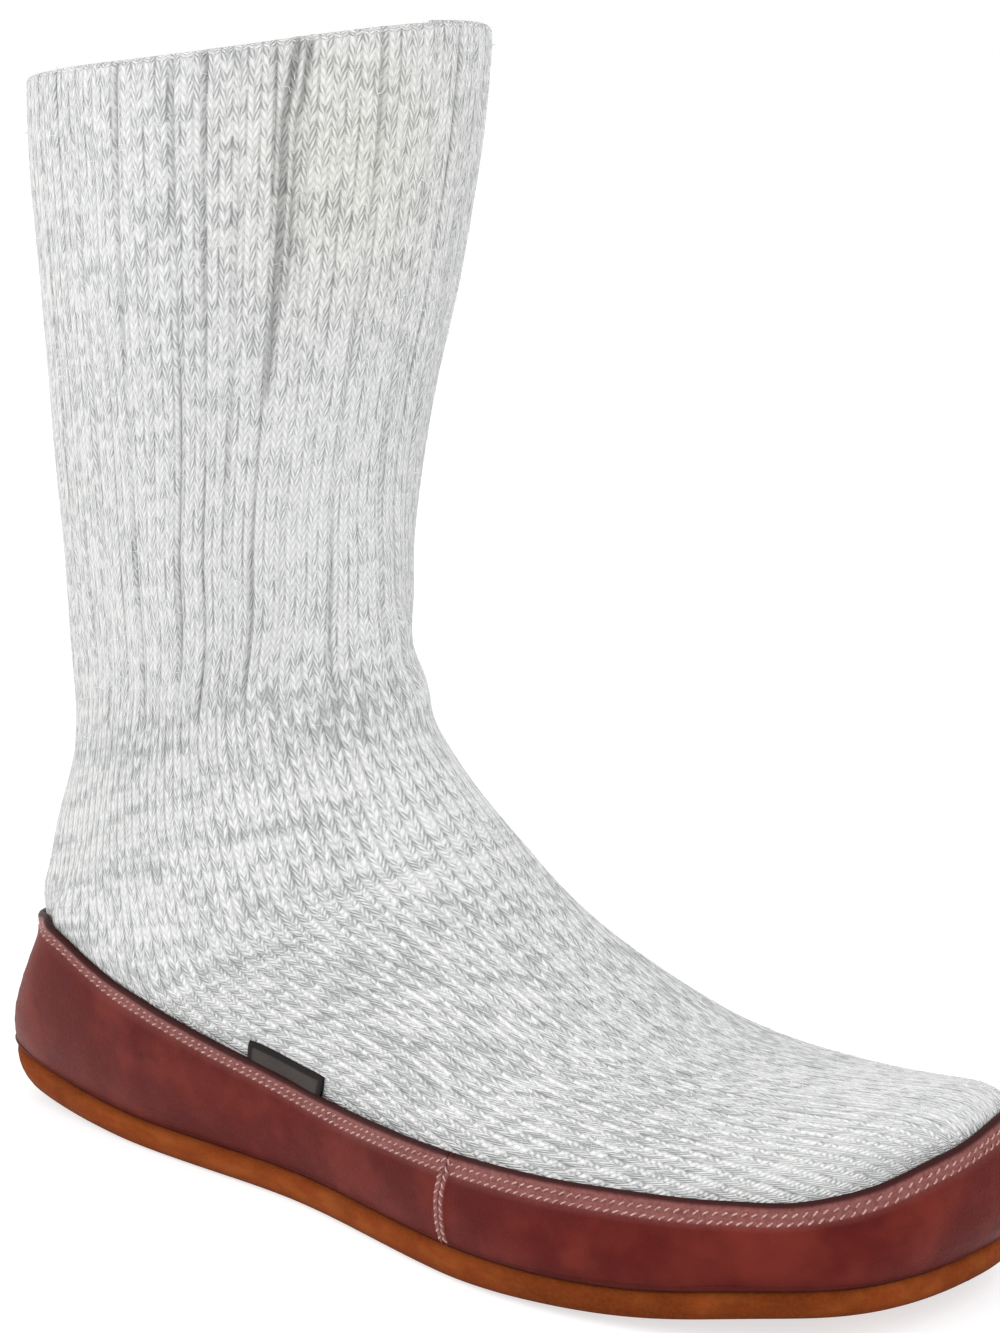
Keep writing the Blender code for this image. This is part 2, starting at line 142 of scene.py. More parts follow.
def hermite(f: Array, a: Array, b: Array, slope_a: Array, slope_b: Array) -> Array:
    """Cubic between values a and b with their slopes, at a share f of the step."""
    return ((2 * f**3 - 3 * f**2 + 1) * a + (f**3 - 2 * f**2 + f) * slope_a
            + (3 * f**2 - 2 * f**3) * b + (f**3 - f**2) * slope_b)


def plan_normals(loop: Array, passes: int) -> Array:
    """Outward plan normals of a closed loop, evened out along it.

    Args:
        loop: plan points of the loop.
        passes: how often the normals are averaged with their neighbours.

    Returns:
        One unit vector for each point.
    """
    ahead = np.roll(loop, -1, axis=0)
    tangent = ahead - np.roll(loop, 1, axis=0)
    area = np.sum(loop[:, 0] * ahead[:, 1] - ahead[:, 0] * loop[:, 1])
    normal = np.stack([tangent[:, 1], -tangent[:, 0]], 1) * np.sign(area)
    for _ in range(passes):
        normal = unit(normal)
        normal = 0.5 * normal + 0.25 * (np.roll(normal, 1, axis=0) + np.roll(normal, -1, axis=0))
    return unit(normal)


@dataclass(frozen=True)
class SoleLine:
    """Heights of the sole and of the wraps' top edge, all along the foot, in metres."""

    thick: float = 0.0074
    toe_thinning: float = 0.0006
    thinning: tuple[float, float] = (0.19, 0.27)
    toe_spring: float = 0.0056
    spring_from: float = 0.172
    spring_length: float = 0.103
    spring_power: float = 1.35
    heel_lift: float = 0.0018
    heel_lift_to: float = 0.03
    arch: tuple[float, float] = (0.07, 0.145)
    arch_rise: float = 0.0016
    arch_side: float = -0.005
    arch_across: float = 0.03
    level_behind: float = -0.012
    tip_rise: float = 0.0045
    tip_from: float = 0.233
    tip_length: float = 0.035
    tip_across: float = 0.03
    cup: float = 0.0068
    cup_to: float = 0.062
    heel_roll: float = 0.008
    ball_lift: float = 0.0014
    ball_at: float = 0.252
    ball_reach: float = 0.018

    def floor(self, x: Array) -> Array:
        """Height of the sole's edge line.

        Args:
            x: the row's own X, of one or more points.

        Returns:
            Heights above the floor.
        """
        toe = np.maximum(along(x) - self.spring_from, 0.0) / self.spring_length
        heel = np.maximum(self.heel_lift_to - along(x), 0.0) / self.heel_lift_to
        ball = self.ball_lift * hill(along(x) - self.ball_at, self.ball_reach)
        return self.toe_spring * toe**self.spring_power + ball + self.heel_lift * heel**2

    def top(self, x: Array) -> Array:
        """Height of the outsole's upper face.

        Args:
            x: the row's own X, of one or more points.

        Returns:
            Heights above the floor.
        """
        spot = np.maximum(along(x), self.level_behind)
        start, end = self.thinning
        thinned = self.toe_thinning * smooth((spot - start) / (end - start))
        return self.thick - thinned + self.floor(spot + TO_ROW_X)

    def edge(self, x: Array) -> Array:
        """Height of the outsole's upper edge at row X; it cups up round the heel."""
        spot = np.maximum(along(x), self.level_behind)
        return self.top(x) + self.cup * smooth((self.cup_to - spot) / (self.cup_to - self.level_behind))

    def roll(self, x: Array) -> Array:
        """How far the outsole's edge rolls in below, round the heel, at row X."""
        return self.heel_roll * smooth((self.cup_to - along(x)) / self.cup_to)

    def tuck(self, x: Array, z: Array) -> Array:
        """How far that roll has drawn the edge in at row X and a height."""
        low, high = self.floor(x), self.edge(x)
        return self.roll(x) * drawn_in(np.clip((z - low) / (high - low), 0.0, 1.0))

    def hollow(self, x: Array, y: Array) -> Array:
        """Rise of the underside below the inner side of the waist.

        Args:
            x: the row's own X, of one or more points.
            y: how far they lie to the inner side.

        Returns:
            How far the underside rises.
        """
        start, end = self.arch
        share = np.clip((along(x) - start) / (end - start), 0.0, 1.0)
        inward = smooth((np.asarray(y) - self.arch_side) / self.arch_across)
        return self.arch_rise * np.sin(math.pi * share) ** 2 * inward

    def wrap_top(self, x: Array, y: Array) -> Array:
        """Height of the wraps' top edge, which climbs over the big toe.

        Args:
            x: the row's own X, of one or more points.
            y: how far they lie to the inner side.

        Returns:
            Heights above the floor.
        """
        marks, heights = np.array(TOP_LINE).T * CM
        slopes = np.gradient(heights, marks)
        k = np.clip(np.searchsorted(marks, along(x)) - 1, 0, len(marks) - 2)
        step = marks[k + 1] - marks[k]
        share = (along(x) - marks[k]) / step
        line = hermite(share, heights[k], heights[k + 1], step * slopes[k], step * slopes[k + 1])
        climb = smooth((along(x) - self.tip_from) / self.tip_length) * smooth(np.asarray(y) / self.tip_across)
        return line + self.tip_rise * climb


@dataclass
class FootForm:
    """The form that the sock and its wraps lie on: closed sections between a front and a back rail."""

    samples: int = 1441
    table: Array = field(init=False)
    slopes: Array = field(init=False)

    def __post_init__(self) -> None:
        """Turn the stations to metres and fit a natural spline through them."""
        self.table = np.array(STATIONS, dtype=float)
        self.table[:, :7] *= CM
        count = len(self.table)
        matrix = 4.0 * np.eye(count) + np.eye(count, k=1) + np.eye(count, k=-1)
        matrix[0, 0] = matrix[-1, -1] = 2.0
        around = np.pad(self.table, ((1, 1), (0, 0)), mode="edge")
        self.slopes = np.linalg.solve(matrix, 3.0 * (around[2:] - around[:-2]))

    @property
    def collar(self) -> float:
        """Row number of the collar."""
        return len(self.table) - 1.0

    def section(self, place: float, shares: Array) -> Array:
        """Points of one closed section.

        Args:
            place: row number, which need not be whole.
            shares: places round it from 0 to 1, from the front round by the inner side.

        Returns:
            One point a row, in the row frame.
        """
        i = int(min(max(math.floor(place), 0), len(self.table) - 2))
        values = hermite(place - i, *self.table[i:i + 2], *self.slopes[i:i + 2])
        front, back = values[0:2], values[2:4]
        half, centre, ridge, widest, front_power, back_power = values[4:]
        angle = np.linspace(0.0, 2.0 * math.pi, self.samples)
        c, s = np.cos(angle), np.sin(angle)
        ahead = c >= 0.0
        power = 2.0 / np.where(ahead, front_power, back_power)
        reach, across = np.abs(c) ** power, np.sign(s) * np.abs(s) ** power
        part = np.where(ahead, widest + (1.0 - widest) * reach, widest - widest * reach)
        y = half * across + centre + (ridge - centre) * np.where(ahead, reach, 0.0)
        x, z = (back[k] + (front[k] - back[k]) * part for k in range(2))
        points = np.stack([x + TO_ROW_X, y, z], 1)
        turn = self.samples // 2
        result = np.empty((len(shares), 3))
        for start, span in ((0.0, points[:turn + 1]), (0.5, points[turn:])):
            chosen = (shares < 0.5) == (start < 0.5)
            run = run_lengths(span)
            result[chosen] = read((shares[chosen] - start) * 2.0 * run[-1], run, span)
        return result

    def grid(self, places: Array, shares: Array) -> tuple[Array, Array]:
        """Sections at many row numbers.

        Args:
            places: row numbers, rising.
            shares: places round each section, from 0 up to but not including 1.

        Returns:
            The points and the outward normals, by row and then by share.
        """
        tiny = 1e-12
        grid = np.array([self.section(place, shares) for place in places])
        around = np.roll(grid, -1, axis=1) - np.roll(grid, 1, axis=1)
        normal = np.cross(around, np.gradient(grid, axis=0))
        length = np.linalg.norm(normal, axis=2, keepdims=True)
        normal = np.where(length > tiny, normal / np.maximum(length, tiny), 0.0)
        if places[0] == 0.0:
            normal[0] = unit(normal[1].mean(axis=0))
        outward = ((grid[3:] - grid[3:].mean(axis=1, keepdims=True)) * normal[3:]).sum()
        return grid, normal * np.sign(outward)


@dataclass
class FormSurface:
    """The form's outer face as a fine net that rays can find."""

    form: FootForm
    sole: SoleLine
    rows: int = 420
    around: int = 360
    half: int = 120
    tip: float = 0.04
    tree: BVHTree = field(init=False)

    def __post_init__(self) -> None:
        """Build the net, closed at the toe by one face."""
        places = np.linspace(TOE_PLACE, self.form.collar, self.rows)
        points, _ = self.form.grid(places, np.arange(self.around) / self.around)
        net = ring(np.arange(self.rows * self.around).reshape(self.rows, self.around), 1)
        quads = np.stack([net[:-1, :-1], net[:-1, 1:], net[1:, 1:], net[1:, :-1]], -1).reshape(-1, 4)
        faces = [net[0, :-1].tolist(), *quads.tolist()]
        self.tree = BVHTree.FromPolygons(points.reshape(-1, 3).tolist(), faces)

    def outline(self, lift: float, count: int, offset: float = 0.0, edge: bool = False) -> Array:
        """Plan loop where the form meets the sole.

        Args:
            lift: height above the outsole's upper face.
            count: points to a side.
            offset: distance to move the form out first.
            edge: whether the lift is measured from the outsole's upper edge instead.

        Returns:
            Plan points from the heel along the outer side to the toe and back along the inner side.
        """
        half, shares = self.half, np.arange(2 * self.half) / (2 * self.half)
        level_at = self.sole.edge if edge else self.sole.top
        places = np.linspace(TOE_PLACE, 14.0, 560)
        back, normal = self.form.grid(places, shares)
        low = back[:, half] + normal[:, half] * offset
        below = np.where(low[:, 2] < level_at(low[:, 0]) + lift)[0]
        ends = [np.linspace(places[k], places[k + 1], 40) for k in (below[0] - 1, below[-1])]
        grid, normal = self.form.grid(np.concatenate([ends[0], places[below], ends[1]]), shares)
        pairs = []
        for loop in ring(grid + normal * offset, 1):
            level = loop[:, 2] - level_at(loop[:, 0]) - lift
            found = []
            for way in (slice(None, half - 1, -1), slice(None, half + 1)):
                side, height = loop[way, :2], level[way]
                for k in np.where((height[:-1] >= 0.0) & (height[1:] < 0.0))[0][-1:]:
                    share = height[k] / (height[k] - height[k + 1])
                    found.append(side[k] + share * (side[k + 1] - side[k]))
            if len(found) == 2 and level[half] < 0.0:
                pairs.append(found)
        pairs = np.array(pairs)[::-1]
        width = np.abs(pairs[:, 0, 1] - pairs[:, 1, 1])
        heel, toe = (pairs[k].mean(axis=0) + np.array([way * self.tip * width[k], 0.0])
                     for k, way in ((0, -1.0), (-1, 1.0)))
        turn = np.linspace(0.0, 1.0, count)
        turn = 0.55 * (0.5 - 0.5 * np.cos(math.pi * turn)) + 0.45 * turn
        sides = []
        for side in (0, 1):
            path = np.concatenate([[heel], pairs[:, side], [toe]])
            run = run_lengths(path)
            sides.append(read(run[-1] * turn, run, path))
        return np.concatenate([sides[0], sides[1][::-1][1:-1]])


# ---------------------------------------------------------------- mesh helpers
def mapped_grid(name: str, table: Array, values: tuple[str, ...], woven: bool = False) -> Piece:
    """Grid whose corners are moved to a table of points; those that fall together become one.

    Args:
        name: the piece's name.
        table: by row and column, each corner's place, its two pattern coordinates if there are any,
            and its named numbers.
        values: the numbers' names.
        woven: whether there are pattern coordinates.

    Returns:
        The new object, its faces smooth and turned outwards.
    """
    rows, columns, width = table.shape
    corners = table.reshape(-1, width)
    bm = bmesh.new()
    bmesh.ops.create_grid(bm, x_segments=columns - 1, y_segments=rows - 1, size=1.0)
    for vertex, corner in zip(bm.verts, corners):
        vertex.co = corner[:3]
    for column, label in enumerate(values, width - len(values)):
        layer = bm.verts.layers.float.new(label)
        for vertex, value in zip(bm.verts, corners[:, column]):
            vertex[layer] = value
    if woven:
        layer = bm.loops.layers.uv.new("weave")
        bm.verts.index_update()
        for face in bm.faces:
            for loop in face.loops:
                loop[layer].uv = corners[loop.vert.index, 3:5]
    bmesh.ops.remove_doubles(bm, verts=bm.verts[:], dist=1e-7)
    bmesh.ops.dissolve_degenerate(bm, dist=1e-8, edges=bm.edges[:])
    bmesh.ops.recalc_face_normals(bm, faces=bm.faces[:])
    return finish(bm, name)


def capped(rows: Array) -> Array:
    """Close rows of corners at both ends.

    Args:
        rows: corners by row, with any values behind their three coordinates.

    Returns:
        The rows with one more at each end, which is drawn in to a point.
    """
    ends = rows[[0, -1]]
    ends[:, :, :3] = ends[:, :, :3].mean(axis=1, keepdims=True)
    return np.concatenate([ends[:1], rows, ends[1:]])


def put(name: str, data: bpy.types.ID) -> Piece:
    """Put a new object in the scene.

    Args:
        name: its name.
        data: its mesh, light or camera.

    Returns:
        The object.
    """
    piece = bpy.data.objects.new(name, data)
    bpy.context.scene.collection.objects.link(piece)
    return piece


def finish(bm: bmesh.types.BMesh, name: str) -> Piece:
    """Make an object of a mesh in the making.

    Args:
        bm: the mesh in the making, which is freed.
        name: the piece's name.

    Returns:
        The new object, its faces smooth.
    """
    for face in bm.faces:
        face.smooth = True
    mesh = bpy.data.meshes.new(name)
    bm.to_mesh(mesh)
    bm.free()
    return put(name, mesh)


def scatter(name: str, pattern: Piece, places: list[Matrix]) -> Piece:
    """One mesh of many copies of a small shape.

    Args:
        name: the piece's name.
        pattern: the shape, which is removed afterwards.
        places: where each copy goes.

    Returns:
        The new object.
    """
    bm = bmesh.new()
    for place in places:
        copy = pattern.data.copy()
        copy.transform(place)
        bm.from_mesh(copy)
        bpy.data.meshes.remove(copy)
    bpy.data.meshes.remove(pattern.data)
    return finish(bm, name)


# ---------------------------------------------------------------- finishes
class Slot(Enum):
    """Material slots of the record."""

    KNIT = "knit"
    LEATHER = "wrap_leather"
    SUEDE = "sole_suede"
    CLOTH = "footbed_cloth"
    RIBBON = "tab_ribbon"


def hand_over(piece: Piece, material: Material, slot: Slot, *nodes: str) -> Piece:
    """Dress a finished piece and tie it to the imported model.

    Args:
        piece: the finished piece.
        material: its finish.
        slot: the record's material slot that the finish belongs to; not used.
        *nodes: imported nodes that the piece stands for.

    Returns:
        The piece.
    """
    piece.data.materials.append(material)
    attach(piece, BODY)
    if nodes:
        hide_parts(*nodes)
    LOG.info("%s: %d faces", piece.name, len(piece.data.polygons))
    return piece


class Term:
    """A node's output, which plain sums can be written with."""

    def __init__(self, wiring: Wiring, socket: bpy.types.NodeSocket) -> None:
        """Keep the output and the wiring that it is in."""
        self.wiring, self.socket = wiring, socket

    def __add__(self, other: Source) -> Term:
        """The sum."""
        return self.wiring.math("ADD", self, other)

    def __mul__(self, other: Source) -> Term:
        """The product."""
        return self.wiring.math("MULTIPLY", self, other)

    def __sub__(self, other: Source) -> Term:
        """The difference."""
        return self.wiring.math("SUBTRACT", self, other)

    def __rsub__(self, other: Source) -> Term:
        """The difference from a constant."""
        return self.wiring.math("SUBTRACT", other, self)

    def __pow__(self, other: Source) -> Term:
        """The power."""
        return self.wiring.math("POWER", self, other)

    def __abs__(self) -> Term:
        """The distance from 0."""
        return self.wiring.math("ABSOLUTE", self)

    def to(self, operation: str) -> Term:
        """The term after an operation on one number, such as FLOOR."""
        return self.wiring.math(operation, self)


Source = Term | float | tuple


class Wiring:
    """Nodes of one tree and the links between them."""

    def __init__(self, tree: bpy.types.NodeTree) -> None:
        """Start on a tree."""
        self.tree = tree

    def feed(self, node: bpy.types.Node, feeds: dict[str | int, Source]) -> bpy.types.Node:
        """Link or set inputs of a node.

        Args:
            node: the node.
            feeds: what each input gets, by its name or number.

        Returns:
            The node.
        """
        for key, source in feeds.items():
            socket = node.inputs[key]
            if isinstance(source, Term):
                self.tree.links.new(source.socket, socket)
            else:
                socket.default_value = (*source, 1.0) if socket.type == "RGBA" else source
        return node

    def node(self, kind: str, feeds: dict[str | int, Source], **settings: object) -> bpy.types.Node:
        """Add a node.

        Args:
            kind: its type; one without Node in it is a shader node's.
            feeds: what each input gets, by its name or number.
            **settings: its options.

        Returns:
            The node.
        """
        made = self.tree.nodes.new(kind if "Node" in kind else "ShaderNode" + kind)
        for label, value in settings.items():
            setattr(made, label, value)
        return self.feed(made, feeds)

    def term(self, kind: str, *feeds: Source, output: str | int = 0, **settings: object) -> Term:
        """An output of a new node that is fed in the order of its inputs."""
        return Term(self, self.node(kind, dict(enumerate(feeds)), **settings).outputs[output])

    def math(self, operation: str, *terms: Source) -> Term:
        """A sum of one kind on one or two numbers."""
        return self.term("Math", *terms, operation=operation)


class Look(Wiring):
    """Wiring of one procedural material."""

    def __init__(self, name: str) -> None:
        """Start a material with a plain shader.

        Args:
            name: the material's name.
        """
        self.material = bpy.data.materials.new(name)
        self.material.use_nodes = True
        super().__init__(self.material.node_tree)
        self.here = self.term("TexCoord", output="Object")

    def fit(self, value: Term, low: float, high: float, to_low: float = 0.0, to_high: float = 1.0) -> Term:
        """Ease a number from one range to another."""
        return self.term("MapRange", value, low, high, to_low, to_high, interpolation_type="SMOOTHSTEP")

    def blend(self, share: Source, first: Source, second: Source, kind: str = "MIX") -> Term:
        """Mix two colours."""
        mixed = self.node("Mix", {}, data_type="RGBA", blend_type=kind)
        return Term(self, self.feed(mixed, {0: share, 6: first, 7: second}).outputs[2])

    def speckle(self, scale: float | Triple, detail: float = 2.0, rough: float = 0.5,
                at: Term | None = None) -> Term:
        """Soft noise of a place, which is by default the point itself.

        Args:
            scale: its scale per metre, or one for each axis.
            detail: how many finer layers it has.
            rough: how strong they are.
            at: other coordinates to read.

        Returns:
            The noise, from 0 to 1.
        """
        scales = scale if isinstance(scale, tuple) else (scale,) * 3
        where = self.node("Mapping", {"Vector": at or self.here, "Scale": scales}).outputs[0]
        feeds = {"Vector": Term(self, where), "Scale": 1.0, "Detail": detail, "Roughness": rough}
        return Term(self, self.node("TexNoise", feeds).outputs["Fac"])

    def dice(self, u: Term, v: Term) -> Term:
        """A number from 0 to 1 that is drawn anew for each pair of whole numbers."""
        return self.term("TexWhiteNoise", self.term("CombineXYZ", u, v), noise_dimensions="2D")

    def weave(self) -> tuple[Term, Term, Term]:
        """The pattern coordinates, together and one by one."""
        uv = self.term("UVMap", uv_map="weave")
        return uv, self.term("SeparateXYZ", uv), self.term("SeparateXYZ", uv, output=1)

    def value(self, name: str) -> Term:
        """A named number stored on the mesh."""
        return self.term("Attribute", attribute_name=name, output="Fac")

    def bump(self, height: Term, distance: float, strength: float = 1.0, under: Term | None = None) -> Term:
        """Relief of a height.

        Args:
            height: the relief, as a share of distance.
            distance: what a height of 1 stands for, in metres.
            strength: how much of it shows.
            under: relief that it lies on.

        Returns:
            The normal.
        """
        feeds = {"Strength": strength, "Distance": distance, "Height": height}
        if under:
            feeds["Normal"] = under
        return Term(self, self.node("Bump", feeds).outputs[0])

    def done(self, colour: Term, roughness: Source, relief: Term | None = None, **fixed: Source) -> Material:
        """Set the shader and hand the material back.

        Args:
            colour: base colour.
            roughness: how matt the surface is.
            relief: bump to use as the normal.
            **fixed: constants of the shader, by socket name with spaces as underscores.

        Returns:
            The material.
        """
        feeds = {"Base Color": colour, "Roughness": roughness}
        if relief:
            feeds["Normal"] = relief
        feeds |= {label.replace("_", " "): value for label, value in fixed.items()}
        self.feed(self.tree.nodes["Principled BSDF"], feeds)
        return self.material


@dataclass(frozen=True)
class KnitFinish:
    """Marled wool: pale and dark plies twisted together, drawn stitch by stitch."""

    pale: Colour = (0.708, 0.711, 0.706)
    dark: Colour = (0.38, 0.39, 0.392)
    warm: Colour = (0.97, 0.95, 0.87)
    leg_rise: float = 0.85
    relief: float = 0.00056

    def make(self) -> Material:
        """Build the material.

        Returns:
            The material, which reads the piece's weave map and its relief, marl, tint and plain values.
        """
        b = Look("marled_wool")
        uv, wale, course = b.weave()
        plain = b.value("plain")
        # the two legs of each stitch, as round yarns that meet in a V
        apart = abs(wale.to("FRACT") - 0.5) * 2.0
        rise = apart * self.leg_rise + course + (b.speckle(0.35, at=uv) - 0.5) * 0.55
        across = rise.to("FRACT")
        yarn = 1.0 - abs(across * 2.0 - 1.0) ** 2.2
        border = b.fit(apart, 0.66, 1.0)
        body = (yarn * 0.6 + 0.4) * (border * b.fit(plain, 0.0, 1.0, -0.6, -0.9) + 1.0)
        body = body * (b.fit(apart, 0.2, 0.0) * -0.4 + 1.0)
        # each leg has its own share of dark ply; the plies lie in long streaks on the foot and in
        # flecks on the leg
        leg = b.dice((wale * 2.0).to("FLOOR"), rise.to("FLOOR"))
        streak = b.speckle((0.11, 1.1, 1.0), 3.0, 0.6, uv)
        fleck = b.speckle((0.42, 0.36, 1.0), 3.0, 0.6, uv)
        streak = plain * (streak - fleck) + fleck
        sway = (b.speckle((0.055, 0.34, 1.0), at=uv) - 0.5) * b.fit(plain, 0.0, 1.0, 0.3, 1.0)
        twist = (apart * 7.0 + across * 5.0 + leg * 6.28).to("SINE")
        amount = leg * 0.5 + streak * 0.53 + twist * 0.2 + sway * 0.75
        amount = amount + b.value("marl") * (leg * 1.3 + 0.35)
        fibres = b.speckle(2600.0, 2.0, 0.6)
        colour = b.blend((fibres - 0.5) * 0.25 + b.fit(amount, 0.34, 0.98), self.pale, self.dark)
        colour = b.blend(b.value("tint"), colour, b.blend(1.0, colour, self.warm, "MULTIPLY"))
        # shade between the wales, in dashes, and in the grooves of the ribbing
        dash = b.dice(wale.to("ROUND"), (course * 0.4).to("FLOOR")) ** 2.0
        dash = dash * b.fit(plain, 0.0, 1.0, 0.42, 0.16) + b.fit(plain, 0.0, 1.0, 0.06, 0.15)
        shade = b.fit(body, 0.0, 0.75, 0.92, 1.0) * (1.0 - border * (sway * 0.22 + dash))
        # painted shade in the ribbing's grooves and in the pleat's creases, read from the relief value
        shade = shade * b.fit(b.value("relief"), 0.0, 1.0, 0.54, 1.0)
        colour = b.blend(1.0, colour, shade, "MULTIPLY")
        relief = b.bump(fibres * 0.22 + body, self.relief)
        return b.done(colour, 0.95, relief, Sheen_Weight=0.06, Sheen_Roughness=0.6, Specular_IOR_Level=0.1)


@dataclass(frozen=True)
class LeatherFinish:
    """Satin leather with a fine pebble and creases, painted shade in the creases, darker edges with painted
    shade of the seams, and a lighter tone with a painted highlight on the heel.
    """

    middle: Colour = (0.082, 0.0068, 0.0052)
    deep: Colour = (0.026, 0.0045, 0.0045)
    bright: Colour = (0.14, 0.018, 0.012)
    lighter_tone: Colour = (0.24, 0.095, 0.087)

    def make(self) -> Material:
        """Build the material.

        Returns:
            The material, which reads the piece's edge and wear values.
        """
        b = Look("burgundy_leather")
        cells = b.node("TexVoronoi", {"Vector": b.here, "Scale": 1500.0}, feature="DISTANCE_TO_EDGE")
        pebble = b.fit(Term(b, cells.outputs["Distance"]), 0.0, 0.22)
        pores = b.speckle(900.0, 3.0, 0.6)
        crease = b.speckle((60.0, 60.0, 190.0), 4.0, 0.6)
        colour = b.blend(b.fit(b.speckle(55.0, 3.0, 0.55), 0.38, 0.72), self.middle, self.bright)
        colour = b.blend(b.fit(b.speckle(26.0), 0.48, 0.7, 0.0, 0.13), colour, self.deep)
        # painted shade in the creases
        colour = b.blend(b.fit(crease, 0.58, 0.8, 0.0, 0.3), colour, self.deep)
        # lighter tone: a band below the top edge and the wraps' ends at the seams, and a painted highlight on
        # the heel
        colour = b.blend(b.value("wear") * b.fit(pores, 0.3, 0.62, 0.55, 1.0), colour, self.lighter_tone)
        # darker edges: the cut edge's own dark colour with painted shade of the gap to the knit, and painted
        # shade along the seam to the sole
        colour = b.blend(b.value("edge") * 0.97, colour, self.deep)
        relief = b.bump(pebble, 0.00007, 0.7, b.bump(crease, 0.0007, 0.55))
        relief = b.bump(pores, 0.0001, 0.6, relief)
        return b.done(colour, pores * 0.2 + 0.36, relief, Specular_IOR_Level=0.07)


@dataclass(frozen=True)
class SuedeFinish:
    """Brushed suede: napped and uneven, darker on its tread and towards the toe, with painted shade along its
    lower and upper edges.
    """

    middle: Colour = (0.185, 0.036, 0.0078)
    light: Colour = (0.24, 0.06, 0.013)
    dark: Colour = (0.085, 0.016, 0.004)

    def make(self) -> Material:
        """Build the material.

        Returns:
            The material, which reads the piece's edge and wear values.
        """
        b = Look("sole_suede")
        nap = b.speckle((900.0, 1300.0, 1300.0), 4.0, 0.65)
        brushed = b.speckle((70.0, 160.0, 220.0), 3.0, 0.6)
        clouds = b.speckle(38.0, 3.0, 0.6)
        colour = b.blend(b.fit(brushed, 0.38, 0.68), self.middle, self.light)
        colour = b.blend(b.fit(clouds, 0.45, 0.75, 0.0, 0.6), colour, self.dark)
        # painted shade along the lower edge and along the upper edge under the wraps
        colour = b.blend(b.value("edge") * 0.85, colour, self.dark)
        # darker on the tread and towards the toe
        colour = b.blend(b.value("wear") * b.fit(clouds, 0.3, 0.62), colour, self.dark)
        colour = b.blend(b.fit(nap, 0.3, 0.75, 0.0, 0.3), colour, self.light)
        relief = b.bump(nap, 0.00035, 0.8, b.bump(brushed, 0.0006, 0.5))
        return b.done(colour, 0.92, relief, Sheen_Weight=0.02, Sheen_Roughness=0.45, Specular_IOR_Level=0.02)


@dataclass(frozen=True)
class ThreadFinish:
    """Waxed sewing thread of two plies."""

    name: str
    light: Colour
    dark: Colour

    def make(self) -> Material:
        """Build the material.

        Returns:
            The material.
        """
        b = Look(self.name)
        ply = b.speckle((1500.0, 1500.0, 2600.0))
        colour = b.blend(b.fit(ply, 0.35, 0.65), self.dark, self.light)
        colour = b.blend(b.fit(b.speckle(120.0), 0.45, 0.75, 0.0, 0.5), colour, self.dark)
        return b.done(colour, 0.62, b.bump(ply, 0.00012, 0.8), Sheen_Weight=0.1, Specular_IOR_Level=0.25)


@dataclass(frozen=True)
class ClothFinish:
    """Plain woven cloth or ribbon."""

    name: str
    light: Colour
    dark: Colour
    yarns: float
    relief: float
    hem: Colour = (0.5, 0.48, 0.44)

    def make(self) -> Material:
        """Build the material.

        Returns:
            The material, which reads the piece's weave map in metres and its edge value.
        """
        b = Look(self.name)
        _, u, v = b.weave()
        cross = (u * self.yarns).to("SINE") * (v * self.yarns).to("SINE") * 0.5 + 0.5
        tone = b.speckle(1800.0, 3.0, 0.6) * 0.5 + cross * 0.6
        colour = b.blend(b.fit(tone, 0.15, 0.85), self.dark, self.light)
        colour = b.blend(b.fit(b.speckle(60.0, 3.0), 0.45, 0.8, 0.0, 0.35), colour, self.dark)
        colour = b.blend(b.value("edge") * 0.9, colour, self.hem)
        return b.done(colour, 0.88, b.bump(tone, self.relief), Sheen_Weight=0.04, Specular_IOR_Level=0.1)


# ---------------------------------------------------------------- the knitted sock
class Fold(NamedTuple):
    """A soft trough (positive depth) or ridge (negative), from one point of the wall to another.

    Shares run round the section from the front by the inner side; heights, width and depth are metres.
    """

    share_from: float
    height_from: float
    share_to: float
    height_to: float
    width: float
    depth: float


FOLDS = tuple(Fold(*row) for row in (
    # the pleat below the collar, on the outer front
    (0.905, 0.276, 0.895, 0.254, 0.0011, 0.0015),
    (0.895, 0.254, 0.896, 0.190, 0.0011, 0.0013),
    (0.914, 0.276, 0.903, 0.252, 0.0009, 0.0010),
    (0.903, 0.252, 0.903, 0.212, 0.0009, 0.0008),
    # soft hollows down the leg
    (0.845, 0.262, 0.835, 0.165, 0.0110, 0.0011),
    (0.955, 0.255, 0.940, 0.150, 0.0120, -0.0008),
    (0.710, 0.250, 0.735, 0.130, 0.0120, 0.0009),
    (0.180, 0.262, 0.165, 0.150, 0.0120, 0.0010),
    (0.300, 0.245, 0.270, 0.120, 0.0130, -0.0008),
    # bend in front of the ankle
    (0.930, 0.121, 1.060, 0.124, 0.0050, 0.0010),
    (0.915, 0.105, 1.075, 0.107, 0.0055, 0.0009),
    (0.905, 0.113, 1.085, 0.115, 0.0050, -0.0007),
    # hollows beside the ankle and over the heel cord
    (0.770, 0.118, 0.850, 0.098, 0.0070, 0.0011),
    (0.160, 0.100, 0.230, 0.118, 0.0070, 0.0011),
    (0.590, 0.105, 0.640, 0.088, 0.0090, 0.0012),
    (0.360, 0.088, 0.410, 0.105, 0.0090, 0.0012),
    # drag lines from the wrap's seam up over the instep
    (0.800, 0.045, 0.870, 0.066, 0.0050, 0.0007),
    (0.830, 0.036, 0.900, 0.050, 0.0045, 0.0006),
))


class Tone(NamedTuple):
    """A soft patch of the wool: how strong, and where and how far it reaches in height and round the leg."""

    strength: float
    height: float
    tall: float
    share: float
    wide: float

    def at(self, z: Array, shares: Array) -> Array:
        """Its strength at heights and places round the section."""
        gap = np.abs(shares - self.share)
        return self.strength * hill(z - self.height, self.tall) * hill(np.minimum(gap, 1.0 - gap), self.wide)


